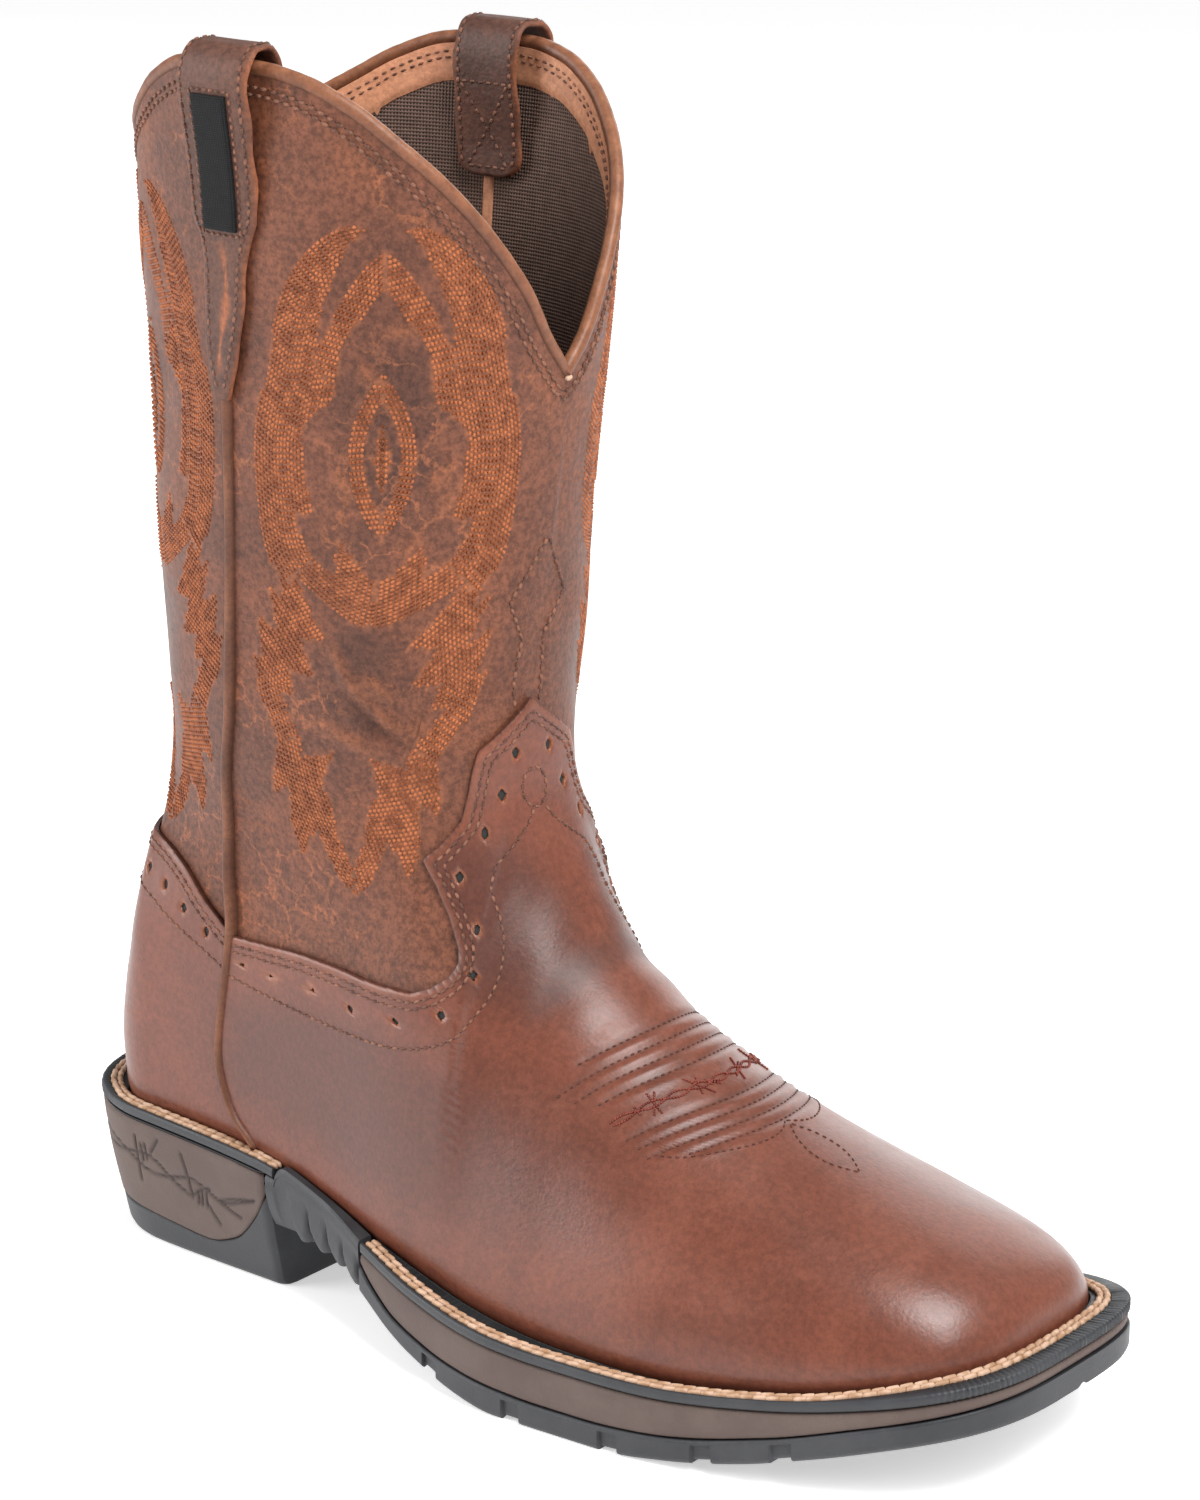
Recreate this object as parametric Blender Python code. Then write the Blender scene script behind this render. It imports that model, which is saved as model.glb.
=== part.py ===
import bpy
import numpy as np

for item in list(bpy.data.objects):
    bpy.data.objects.remove(item, do_unlink=True)

# Right western boot with a square toe, a scalloped shaft and a moulded rubber sole.
# All sizes are millimetres: x runs from the heel to the toe, y to the medial side, z up from the floor.
MM = 0.001
GAP = 0.3


# A short table: the names of its columns, then one row per section.
def table(names, *rows):
    return dict(zip(names.split(), np.array(rows, float).T))


# Top of the sole along the foot, where the upper stands.
SEAT = table(
    "x z",
    (0, 37.5),
    (40, 37.0),
    (80, 34.5),
    (105, 29.5),
    (130, 23.8),
    (160, 19.0),
    (190, 17.0),
    (218, 17.0),
    (250, 20.0),
    (275, 24.5),
    (303, 30.2),
)
# Floor side of the sole: arch, flat tread, toe spring.
BOTTOM = table(
    "x z",
    (85, 19.0),
    (95, 19.0),
    (108, 18.0),
    (116, 16.6),
    (122, 14.5),
    (135, 9.0),
    (150, 4.4),
    (162, 1.7),
    (176, 0.0),
    (208, 0.0),
    (225, 1.5),
    (245, 5.2),
    (262, 9.8),
    (280, 15.0),
    (303, 20.8),
)
# Thickness of the midsole band.
MIDSOLE = table(
    "x thick",
    (121, 1.6),
    (128, 6.0),
    (138, 8.9),
    (160, 10.0),
    (200, 10.0),
    (225, 9.0),
    (250, 6.8),
    (275, 4.2),
    (303, 2.6),
)
# Outline of the sole at the welt.
SOLE_PLAN = table(
    "x lateral medial",
    (20, 35.0, 35.0),
    (50, 37.0, 36.5),
    (85, 38.0, 35.5),
    (105, 40.0, 36.0),
    (125, 46.0, 38.5),
    (145, 52.0, 43.0),
    (175, 57.0, 50.0),
    (205, 56.5, 54.0),
    (235, 53.0, 54.5),
    (260, 48.5, 53.0),
    (303, 43.0, 49.0),
)
SOLE_TOE = 302.0
SOLE_HEEL = 6.0
HEEL_ROUND = 38.0

# Front line of the upper in side view, toe box to shaft.
FRONT = table(
    "z x",
    (22, 292.5),
    (32, 293.5),
    (39, 292.0),
    (45, 286.5),
    (50, 278.0),
    (54, 267.5),
    (60, 249.0),
    (66, 232.0),
    (74, 212.5),
    (84, 194.0),
    (96, 177.0),
    (110, 163.5),
    (126, 154.5),
    (145, 150.0),
    (165, 149.0),
    (190, 149.5),
    (244, 155.5),
    (330, 162.5),
)
# Back line of the upper in side view.
BACK = table(
    "z x",
    (30, 18.5),
    (44, 17.0),
    (56, 15.8),
    (70, 18.3),
    (85, 23.5),
    (100, 28.0),
    (120, 31.0),
    (150, 33.0),
    (200, 34.2),
    (250, 33.8),
    (330, 32.0),
)
# Half widths of the last in plan.
LAST_PLAN = table(
    "x lateral medial",
    (36, 32.0, 32.0),
    (70, 33.5, 32.0),
    (105, 37.0, 32.5),
    (140, 43.5, 37.0),
    (175, 49.0, 44.0),
    (205, 50.5, 48.5),
    (235, 47.5, 49.5),
    (260, 43.5, 48.0),
    (296, 38.0, 44.0),
)
TOE_START = 238.0
TOE_END = 293.5
TOE_POWER = {-1: 2.7, 1: 3.4}
SOLE_POWER = {-1: 3.0, 1: 3.8}
HEEL_POWER = 2.25
# Side shift and rounding of the foot sections.
DOME = table(
    "x shift rise round",
    (0, 0.0, 1.80, 2.00),
    (150, 0.0, 1.55, 1.85),
    (200, 1.0, 1.80, 1.95),
    (250, 2.5, 2.20, 2.15),
    (303, 4.0, 2.40, 2.30),
)
# Ovals of the shaft.
SHAFT = table(
    "z half power",
    (90, 33.0, 2.25),
    (120, 34.5, 2.20),
    (150, 38.5, 2.20),
    (200, 44.5, 2.15),
    (250, 48.5, 2.10),
    (330, 51.5, 2.10),
)
TUCK_SHARE = 0.06
TUCK_HEIGHT = 8.0
ANKLE = 150.0
BLEND_START = 85.0
# Side seam in side view.
SEAM = table(
    "z x",
    (20, 74.5),
    (38, 73.6),
    (66, 70.7),
    (94, 70.6),
    (131, 72.5),
    (160, 78.7),
    (214, 87.0),
    (330, 94.0),
)
SEAM_HALF = 2.0
# Upper edge of the vamp from the front centre to the side seam, and of the counter from there to the back.
VAMP_EDGE = table(
    "share z",
    (0.0, 166.0),
    (0.155, 158.5),
    (0.245, 152.5),
    (0.262, 143.0),
    (0.375, 129.0),
    (0.405, 112.0),
    (0.44, 99.5),
    (0.51, 95.5),
    (0.66, 95.0),
    (0.80, 96.0),
    (1.0, 94.4),
)
COUNTER_EDGE = table("share z", (0.0, 94.4), (0.15, 101.4), (0.30, 109.0), (0.45, 113.0), (1.0, 118.0))
# Scalloped top of the shaft, front centre to seam and seam to back.
COLLAR_FRONT = table(
    "share z",
    (0.0, 245.0),
    (0.096, 256.0),
    (0.163, 266.8),
    (0.24, 277.0),
    (0.317, 286.0),
    (0.42, 296.0),
    (0.52, 304.0),
    (0.625, 311.5),
    (0.76, 317.5),
    (0.88, 319.6),
    (1.0, 320.0),
)
COLLAR_BACK = table(
    "share z",
    (0.0, 320.0),
    (0.17, 318.8),
    (0.33, 313.5),
    (0.45, 307.0),
    (0.57, 300.5),
    (0.75, 290.0),
    (0.90, 282.0),
    (1.0, 278.5),
)
# The medial side of the collar, with its strap, stands lower than the lateral side.
MEDIAL_DROP = 6.0
FRONT_COLUMNS = 16
BACK_COLUMNS = 9
FOOT_ROWS = (0.0, 0.05, 0.12, 0.22, 0.34, 0.47, 0.60, 0.74, 0.88, 1.0)
SHAFT_ROWS = (0.0, 0.03, 0.10, 0.22, 0.36, 0.50, 0.64, 0.78, 0.90, 1.0)
OVERLAY = 1.3
OVERLAY_GAP = 0.4
WALL = 2.0
FAIR_HEIGHT = 45.0

WELT_HEIGHT = 2.9
FLANGE_START = 88.0
FLANGE_END = 122.5
# Height of the arch flange over the top of the sole.
FLANGE = table("x rise", (86, 4.8), (100, 4.4), (112, 3.7), (123, 3.1))
BREAST = 84.0
INSOLE_THICK = 3.2
# Side notches between the tread lugs.
NOTCHES = table("x", (153,), (181,), (210,), (235,), (255,))
NOTCH_HALF = 2.6
NOTCH_DEPTH = 1.2
GROOVE_DEPTH = 1.8
# Lobes along the edge of the arch.
LOBE_START = 92.5
LOBE_PITCH = 7.2
LOBE_COUNT = 4
LOBE_RISE = 1.4
# Lower edge of the side panel along the heel.
PANEL_LOW = table("x z", (0, 9.0), (30, 9.0), (45, 8.0), (58, 7.0), (68, 10.0), (78, 19.5), (84, 29.0))
PANEL_THICK = 2.6
HEEL_COUNT = 30

# Pull strap along its length: tail outside, over the top edge, down the inside.
STRAP = table(
    "z out half",
    (240.0, 1.6, 1.4),
    (250.5, 1.6, 4.4),
    (262.0, 1.6, 6.2),
    (272.0, 1.6, 6.9),
    (277.0, 1.65, 7.6),
    (281.0, 1.7, 8.8),
    (285.0, 1.85, 10.6),
    (292.0, 2.3, 11.0),
    (303.0, 3.6, 11.0),
    (312.0, 5.0, 11.0),
    (318.5, 5.6, 11.0),
    (323.2, 4.2, 11.0),
    (325.6, 1.0, 11.0),
    (325.6, -3.2, 11.0),
    (323.2, -6.4, 11.0),
    (318.0, -7.6, 11.0),
    (310.0, -6.8, 11.0),
    (302.5, -5.4, 11.0),
    (297.0, -4.4, 11.0),
    (293.0, -4.0, 11.0),
    (290.2, -4.0, 10.4),
    (288.0, -4.0, 8.6),
    (286.8, -4.0, 5.4),
)
STRAP_SHIFT = 1.5
STRAP_THICK = 2.0
PATCH_HALF = 5.1
PATCH_LOW = 282.0
PATCH_HIGH = 315.0
PATCH_THICK = 0.8
PIPING_HALF = 1.5
PIPING_RISE = 1.9
PIPING_TOP = 237.0
BINDING_RADIUS = 1.7
# Edges sharper than this, in radians, stay crisp when shaded.
SHARP_ANGLE = 0.7


# A smooth monotone curve through the rows of a table, level beyond both ends.
def curve(known, values, at):
    at = np.clip(np.asarray(at, float), known[0], known[-1])
    step = np.diff(known)
    slope = np.diff(values) / step
    first = 2 * step[1:] + step[:-1]
    second = step[1:] + 2 * step[:-1]
    same = slope[:-1] * slope[1:] > 0
    product = np.where(same, slope[:-1] * slope[1:], 1.0)
    mixed = np.where(same, first * slope[1:] + second * slope[:-1], 1.0)
    bend = np.zeros_like(values)
    bend[1:-1] = np.where(same, (first + second) * product / mixed, 0.0)
    bend[0] = slope[0]
    bend[-1] = slope[-1]
    i = np.clip(np.searchsorted(known, at, side="right") - 1, 0, len(known) - 2)
    t = (at - known[i]) / step[i]
    low = values[i] * (1 + 2 * t) * (1 - t) ** 2 + bend[i] * step[i] * t * (1 - t) ** 2
    high = values[i + 1] * t * t * (3 - 2 * t) + bend[i + 1] * step[i] * t * t * (t - 1)
    return low + high


def ease(t):
    t = np.clip(t, 0.0, 1.0)
    return t * t * (3 - 2 * t)


def seat(x):
    return curve(SEAT["x"], SEAT["z"], x)


def front_line(z):
    return curve(FRONT["z"], FRONT["x"], z)


def back_line(z):
    return curve(BACK["z"], BACK["x"], z)


def shift(x):
    return curve(DOME["x"], DOME["shift"], x)


RIDGE_Z = np.linspace(32.0, 160.0, 1200)
RIDGE_X = front_line(RIDGE_Z)


# Height of the front line over a station; far up over the shaft, where no top closes the section.
def ridge(x):
    found = np.interp(x, RIDGE_X[::-1], RIDGE_Z[::-1])
    behind = np.clip(RIDGE_X[-1] - x, 0.0, None)
    return found + 2.5 * behind + 0.12 * behind**2


# Half width of the last: its plan, closed by a square toe and a round heel.
def last_width(x, z, side):
    width = curve(LAST_PLAN["x"], LAST_PLAN["lateral" if side < 0 else "medial"], x)
    toe = np.clip((x - TOE_START) / (TOE_END - TOE_START), 0.0, 1.0)
    power = TOE_POWER[side]
    width = width * (1 - toe**power) ** (1 / power)
    heel = np.clip((HEEL_ROUND - x) / (HEEL_ROUND - back_line(z)), 0.0, 1.0)
    return width * (1 - heel**HEEL_POWER) ** (1 / HEEL_POWER)


# Half width of the upper at a point of the side view: domed foot sections blend into shaft ovals.
def half_width(x, z, side):
    low = seat(x)
    t = np.clip((z - low) / np.maximum(ridge(x) - low, 1e-6), 0.0, 1.0)
    rise = curve(DOME["x"], DOME["rise"], x)
    rounding = curve(DOME["x"], DOME["round"], x)
    tuck = 1 - TUCK_SHARE * np.clip(1 - (z - low) / TUCK_HEIGHT, 0.0, 1.0) ** 2
    foot = last_width(x, z, side) * (1 - t**rise) ** (1 / rounding) * tuck
    power = curve(SHAFT["z"], SHAFT["power"], z)
    ahead = front_line(z)
    behind = back_line(z)
    along = np.clip(np.abs((2 * x - ahead - behind) / (ahead - behind)), 0.0, 1.0)
    oval = curve(SHAFT["z"], SHAFT["half"], z) * (1 - along**power) ** (1 / power)
    share = ease((z - BLEND_START) / (ANKLE - BLEND_START))
    return foot * (1 - share) + oval * share


# Height of a ring: level 0 lies on the sole, level 1 is the ankle, each further 1 is 100 mm of shaft.
def ring_height(x, level):
    low = seat(x)
    if level <= 1:
        return low + (ANKLE - low) * level
    return np.full_like(x, ANKLE + (level - 1) * 100.0)


def solve(low, high, inside):
    for _ in range(40):
        middle = (low + high) / 2
        if inside(np.array([middle])):
            low = middle
        else:
            high = middle
    return low


# One half of a ring, from the front centre to the back centre.
def ring(level, side, count=400):
    ahead = solve(60.0, 300.0, lambda x: (x < front_line(ring_height(x, level))).all())
    behind = solve(-5.0, 60.0, lambda x: (x < back_line(ring_height(x, level))).all())
    x = behind + (ahead - behind) * (1 + np.cos(np.linspace(0, np.pi, count))) / 2
    z = ring_height(x, level)
    y = half_width(x, z, side)
    y[0] = 0.0
    y[-1] = 0.0
    middle = shift(x) * np.clip((ANKLE - z) / 60.0, 0.0, 1.0)
    return np.stack([x, middle + side * y, z], -1)


def lengths(path):
    return np.concatenate([[0.0], np.cumsum(np.linalg.norm(np.diff(path, axis=0), axis=1))])


def at_lengths(path, run, where):
    return np.stack([np.interp(where, run, path[:, k]) for k in range(3)], -1)


def seam_length(path, run):
    behind = curve(SEAM["z"], SEAM["x"], path[:, 2]) - path[:, 0]
    return np.interp(0.0, behind, run)


FRONT_SHARES = np.linspace(0.0, 1.0, FRONT_COLUMNS + 1)
BACK_SHARES = np.linspace(0.0, 1.0, BACK_COLUMNS + 1)


# Half ring cut into columns by arc length: front centre to seam, then seam to back centre.
def half_columns(level, side):
    path = ring(level, side)
    run = lengths(path)
    seam = seam_length(path, run)
    ahead = FRONT_SHARES * (seam - SEAM_HALF)
    behind = seam + SEAM_HALF + BACK_SHARES * (run[-1] - seam - SEAM_HALF)
    return at_lengths(path, run, np.concatenate([ahead, behind]))


LEVELS = np.concatenate([np.linspace(0.0, 1.0, 61), 1 + np.linspace(0.0, 1.78, 48)[1:]])


def close_ring(lateral, medial):
    return np.concatenate([lateral, medial[1:-1][::-1]])


BODY = np.array([close_ring(half_columns(level, -1), half_columns(level, 1)) for level in LEVELS])
AROUND = BODY.shape[1]
HALF = FRONT_COLUMNS + BACK_COLUMNS + 2


def unit(vectors):
    return vectors / np.maximum(np.linalg.norm(vectors, axis=-1, keepdims=True), 1e-9)


BODY_OUT = unit(np.cross(np.gradient(BODY, axis=0), np.roll(BODY, -1, 1) - np.roll(BODY, 1, 1)))


# Points and outward directions of the body at a level for each column.
def on_body(levels):
    place = np.interp(levels, LEVELS, np.arange(len(LEVELS)))
    i = np.clip(place.astype(int), 0, len(LEVELS) - 2)
    t = (place - i)[..., None]
    j = np.arange(AROUND)
    points = BODY[i, j] * (1 - t) + BODY[i + 1, j] * t
    out = unit(BODY_OUT[i, j] * (1 - t) + BODY_OUT[i + 1, j] * t)
    level_out = unit(out * [1, 1, 0])
    return points, np.where(np.asarray(levels)[..., None] == 0, level_out, out)


# Level at which each column reaches a height.
def level_of(heights):
    return np.array([np.interp(heights[j], BODY[:, j, 2], LEVELS) for j in range(AROUND)])


def around_ring(ahead, behind):
    half = np.concatenate([ahead, behind])
    return close_ring(half, half)


EDGE_LEVEL = level_of(
    around_ring(
        curve(VAMP_EDGE["share"], VAMP_EDGE["z"], FRONT_SHARES),
        curve(COUNTER_EDGE["share"], COUNTER_EDGE["z"], BACK_SHARES),
    )
)
collar_half = np.concatenate(
    [
        curve(COLLAR_FRONT["share"], COLLAR_FRONT["z"], FRONT_SHARES),
        curve(COLLAR_BACK["share"], COLLAR_BACK["z"], BACK_SHARES),
    ]
)
collar_low = np.where(np.arange(HALF) <= FRONT_COLUMNS, collar_half[0], collar_half[-1])
collar_medial = collar_half - MEDIAL_DROP * (collar_half - collar_low) / (collar_half.max() - collar_low)
COLLAR_LEVEL = level_of(close_ring(collar_half, collar_medial))
FOOT_LEVELS = np.array(FOOT_ROWS)[:, None] * EDGE_LEVEL
SHAFT_LEVELS = EDGE_LEVEL + np.array(SHAFT_ROWS)[1:, None] * (COLLAR_LEVEL - EDGE_LEVEL)
EDGE_Z = on_body(EDGE_LEVEL)[0][:, 2]


# How far the upper's skin lies under the body's outline: below the overlays, then faired out to it.
def skin_depth(z, edge):
    return (OVERLAY + OVERLAY_GAP) * (1 - ease((z - edge - 1.0) / FAIR_HEIGHT))


# Triangles of a grid of points, row by row.
def grid_faces(rows, columns, first, wrap):
    i = np.arange(rows - 1)[:, None]
    j = np.arange(columns if wrap else columns - 1)[None]
    a = first + i * columns + j
    b = first + i * columns + (j + 1) % columns
    c = b + columns
    d = a + columns
    return np.concatenate([np.stack([a, b, c], -1).reshape(-1, 3), np.stack([a, c, d], -1).reshape(-1, 3)])


# Triangles between two runs of point numbers.
def band(first, second, wrap):
    a = np.asarray(first)
    b = np.asarray(second)
    if wrap:
        a = np.append(a, a[0])
        b = np.append(b, b[0])
    return np.concatenate([np.stack([a[:-1], a[1:], b[1:]], -1), np.stack([a[:-1], b[1:], b[:-1]], -1)])


# Solid between an outer and an inner grid of the same size.
def shell(outer, inner, wrap):
    rows, columns = outer.shape[:2]
    count = rows * columns
    points = np.concatenate([outer.reshape(-1, 3), inner.reshape(-1, 3)])
    number = np.arange(count).reshape(rows, columns)
    faces = [
        grid_faces(rows, columns, 0, wrap),
        grid_faces(rows, columns, count, wrap)[:, ::-1],
        band(number[0] + count, number[0], wrap),
        band(number[-1], number[-1] + count, wrap),
    ]
    if not wrap:
        faces.append(band(number[:, 0], number[:, 0] + count, False))
        faces.append(band(number[:, -1] + count, number[:, -1], False))
    return points, np.concatenate(faces)


# Triangles that fill a closed section with strips from side to side.
def cap(numbers):
    count = len(numbers)
    faces = []
    for i in range((count - 1) // 2):
        a, b, c, d = numbers[i], numbers[i + 1], numbers[count - 2 - i], numbers[count - 1 - i]
        if b != c:
            faces.append((a, b, c))
        faces.append((a, c, d))
    return np.array(faces)


# Solid through a run of closed sections, its ends filled or joined in a loop.
def loft(sections, wrap=False):
    rows, columns = sections.shape[:2]
    near = np.arange(columns)
    far = near + (rows - 1) * columns
    faces = [grid_faces(rows, columns, 0, True)]
    if wrap:
        faces.append(band(far, near, True))
    else:
        faces.append(cap(near)[:, ::-1])
        faces.append(cap(far))
    return sections.reshape(-1, 3), np.concatenate(faces)


PIECES = []


def piece(name, solid, material):
    points, faces = solid
    corners = points[faces]
    volume = np.einsum("ij,ij->i", corners[:, 0], np.cross(corners[:, 1], corners[:, 2])).sum()
    PIECES.append((name, points, faces if volume > 0 else faces[:, ::-1], material))


# Upper: one hollow wall from the sole to the scalloped top, thinner under the overlays.
upper_points, upper_out = on_body(np.concatenate([FOOT_LEVELS, SHAFT_LEVELS]))
depth = skin_depth(upper_points[..., 2], EDGE_Z)[..., None]
upper_outer = upper_points - upper_out * depth
upper_inner = upper_points - upper_out * (depth + WALL)
piece("upper", shell(upper_outer, upper_inner, True), "shaft_leather")

# Vamp and counter: thin panels over the foot, parted at the side seams.
foot_points, foot_out = on_body(FOOT_LEVELS)
medial_seam = AROUND - FRONT_COLUMNS
vamp_columns = np.concatenate([np.arange(medial_seam, AROUND), np.arange(FRONT_COLUMNS + 1)])
counter_columns = np.arange(FRONT_COLUMNS + 1, medial_seam)
foot_inner = foot_points - foot_out * OVERLAY
for name, columns in (("vamp", vamp_columns), ("counter", counter_columns)):
    piece(name, shell(foot_points[:, columns], foot_inner[:, columns], False), "foot_leather")

# Collar binding: a bead along the top edge.
rim_points, rim_out = on_body(COLLAR_LEVEL)
rim_along = unit(np.roll(rim_points, -1, 0) - np.roll(rim_points, 1, 0))
rim_up = unit(np.cross(rim_along, rim_out))
rim_up = rim_up * np.sign(rim_up[:, 2:3])
bead_centre = rim_points - rim_out * WALL / 2 + rim_up * (BINDING_RADIUS + GAP)
bead_turn = np.linspace(0, 2 * np.pi, 7)[:-1]
bead = (
    bead_centre[:, None]
    + BINDING_RADIUS * np.cos(bead_turn)[None, :, None] * rim_out[:, None]
    + BINDING_RADIUS * np.sin(bead_turn)[None, :, None] * rim_up[:, None]
)
piece("collar_binding", loft(bead, True), "binding_leather")


# Points of the wall beside the seam: arc length from it, height and distance out.
def beside_seam(side, heights, along, out):
    rows = []
    for height, steps, away in zip(heights, along, out):
        level = 1 + (height - ANKLE) / 100.0
        if height < ANKLE:
            level = np.interp(height, BODY[:, FRONT_COLUMNS, 2], LEVELS)
        path = ring(level, side)
        run = lengths(path)
        where = seam_length(path, run) + steps
        points = at_lengths(path, run, where)
        tangent = at_lengths(path, run, where + 0.5) - at_lengths(path, run, where - 0.5)
        normal = unit(np.stack([tangent[:, 1], -tangent[:, 0], np.zeros(len(tangent))], -1))
        normal = normal * np.sign(normal[:, 1:2] * side)
        rows.append(points + normal * np.asarray(away)[..., None])
    return np.array(rows)


strap_across = np.linspace(-1.0, 1.0, 5)
strap_path = np.stack([STRAP["out"], STRAP["z"]], -1)
strap_ahead = unit(np.gradient(strap_path, axis=0))
strap_normal = np.stack([strap_ahead[:, 1], -strap_ahead[:, 0]], -1)
strap_steps = STRAP["half"][:, None] * strap_across
for name, side, drop in (("lateral", -1, 0.0), ("medial", 1, MEDIAL_DROP)):
    strap_sides = []
    for half in (0.5, -0.5):
        moved = strap_path + strap_normal * half * STRAP_THICK
        shifted = strap_steps - STRAP_SHIFT * ease((moved[:, 1:] - 245.0) / 30.0)
        away = np.repeat(moved[:, :1], 5, 1)
        strap_sides.append(beside_seam(side, moved[:, 1] - drop, shifted, away))
    piece("pull_strap_" + name, shell(strap_sides[0], strap_sides[1], False), "strap_leather")

# Plain patch on the outer pull strap.
outside = slice(0, 12)
patch_z = np.linspace(PATCH_LOW, PATCH_HIGH, 6)
patch_steps = np.repeat(np.linspace(-PATCH_HALF, PATCH_HALF, 3)[None], 6, 0) - STRAP_SHIFT
patch_base = np.interp(patch_z, STRAP["z"][outside], STRAP["out"][outside]) + STRAP_THICK / 2 + GAP + 0.1
patch_layers = []
for rise in (PATCH_THICK, 0.0):
    patch_layers.append(beside_seam(-1, patch_z, patch_steps, np.repeat(patch_base[:, None] + rise, 3, 1)))
piece("strap_patch", shell(patch_layers[0], patch_layers[1], False), "patch_fabric")

# Raised side seams from the strap tail to the welt.
seam_edge = np.interp(1.0, VAMP_EDGE["share"], VAMP_EDGE["z"])
for name, side, drop in (("lateral", -1, 0.0), ("medial", 1, MEDIAL_DROP)):
    seam_low = float(seat(SEAM["x"][1])) + WELT_HEIGHT + 2 * GAP
    seam_z = np.concatenate([np.linspace(seam_low, ANKLE, 9), np.linspace(ANKLE, PIPING_TOP - drop, 6)[1:]])
    seam_across = np.linspace(-1.0, 1.0, 5)
    seam_base = GAP + 0.15 - skin_depth(seam_z, seam_edge)
    seam_steps = np.repeat(PIPING_HALF * seam_across[None], len(seam_z), 0)
    bulge = 0.25 + (PIPING_RISE - 0.25) * (1 - seam_across**2)
    top = beside_seam(side, seam_z, seam_steps, seam_base[:, None] + bulge[None])
    base = beside_seam(side, seam_z, seam_steps, np.repeat(seam_base[:, None], 5, 1))
    piece("side_piping_" + name, shell(top, base, False), "binding_leather")


# Half width of the sole at a station, closed by the square toe and the round heel.
def sole_half(x, side, inset=0.0):
    width = curve(SOLE_PLAN["x"], SOLE_PLAN["lateral" if side < 0 else "medial"], x) - inset
    power = SOLE_POWER[side]
    toe = np.clip((x - TOE_START) / (SOLE_TOE - inset - TOE_START), 0.0, 1.0)
    heel = np.clip((HEEL_ROUND - x) / (HEEL_ROUND - SOLE_HEEL - inset), 0.0, 1.0)
    return width * (1 - toe**power) ** (1 / power) * (1 - heel**HEEL_POWER) ** (1 / HEEL_POWER)


def sole_edge(x, side, inset=0.0):
    return shift(x) + side * sole_half(x, side, inset)


def bottom(x):
    return curve(BOTTOM["x"], BOTTOM["z"], x)


def midsole_top(x):
    return seat(x) - GAP


def midsole_low(x):
    return midsole_top(x) - curve(MIDSOLE["x"], MIDSOLE["thick"], x)


# Stations along the sole, close together round the toe.
def toe_stations(start, inset, count):
    end = SOLE_TOE - inset - 0.25
    turn = np.linspace(0.0, 1.0, count)
    return start + (end - start) * np.sin(turn * np.pi / 2) ** 0.9


# Midsole: the band under the forefoot, a wedge at the arch.
band_marks = FLANGE_END + np.array([2.5, 4.5, 6.5, 9.0, 12.0, 16.0])
stations = toe_stations(FLANGE_END + 0.5 + GAP, 0.6, 30)
clear = np.abs(stations[:, None] - band_marks).min(1) > 1.0
stations = np.unique(np.concatenate([stations[clear], band_marks]))
lateral = sole_edge(stations, -1, 0.6)
medial = sole_edge(stations, 1, 0.6)
top = midsole_top(stations)
low = midsole_low(stations)
midsole = np.stack(
    [
        np.stack([stations, lateral, low], -1),
        np.stack([stations, lateral, top], -1),
        np.stack([stations, medial, top], -1),
        np.stack([stations, medial, low], -1),
    ],
    1,
)
piece("midsole", loft(midsole), "midsole_rubber")

# Outsole: arch with its raised flange and lobes, then the tread with notched lugs.
notch_offsets = np.array([-NOTCH_HALF - 0.3, -NOTCH_HALF, NOTCH_HALF, NOTCH_HALF + 0.3])
notch_marks = (NOTCHES["x"][:, None] + notch_offsets).ravel()
lobe_marks = LOBE_START + LOBE_PITCH * np.arange(0, LOBE_COUNT + 0.01, 0.25)
step_marks = np.concatenate([[FLANGE_START - 0.5, FLANGE_START, FLANGE_END, FLANGE_END + 0.5], band_marks])
plain_marks = toe_stations(BREAST + GAP, 0.0, 34)
fixed_marks = np.concatenate([notch_marks, lobe_marks, step_marks])
clear = np.abs(plain_marks[:, None] - fixed_marks).min(1) > 1.0
marks = np.unique(np.concatenate([plain_marks[clear], fixed_marks]))
notched = (np.abs(marks[:, None] - NOTCHES["x"]) < NOTCH_HALF + 0.01).any(1)
flanged = (marks > FLANGE_START - 0.01) & (marks < FLANGE_END + 0.01)
lobe_turn = np.clip((marks - LOBE_START) / LOBE_PITCH, 0.0, LOBE_COUNT)
lobe = LOBE_RISE * np.sqrt(np.abs(np.sin(np.pi * lobe_turn)))
cover = np.where(marks < FLANGE_END + 0.1, midsole_top(marks), midsole_low(marks) - GAP)
base = bottom(marks) + np.where(notched, GROOVE_DEPTH, 0.0)
lip = cover + np.where(flanged, curve(FLANGE["x"], FLANGE["rise"], marks), 0.0)
sides = {}
for side in (-1, 1):
    edge = np.where(notched, sole_edge(marks, side, NOTCH_DEPTH), sole_edge(marks, side))
    reach = np.abs(edge - shift(marks))
    floor_edge = edge - side * np.minimum(np.where(marks < FLANGE_END, 2.6, 0.9), 0.2 * reach)
    floor_edge = floor_edge + side * np.where(marks < FLANGE_END, lobe, 0.0)
    wall = half_width(marks, seat(marks) + WELT_HEIGHT + GAP, side) + GAP + 0.4
    inner_edge = shift(marks) + side * np.where(flanged, wall, 0.9 * reach)
    sides[side] = [
        np.stack([marks, floor_edge, base], -1),
        np.stack([marks, edge, base + 0.3 * (cover - base)], -1),
        np.stack([marks, edge, lip], -1),
        np.stack([marks, inner_edge, lip], -1),
        np.stack([marks, inner_edge, cover], -1),
    ]
piece("outsole", loft(np.stack(sides[-1] + sides[1][::-1], 1)), "outsole_rubber")


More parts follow.
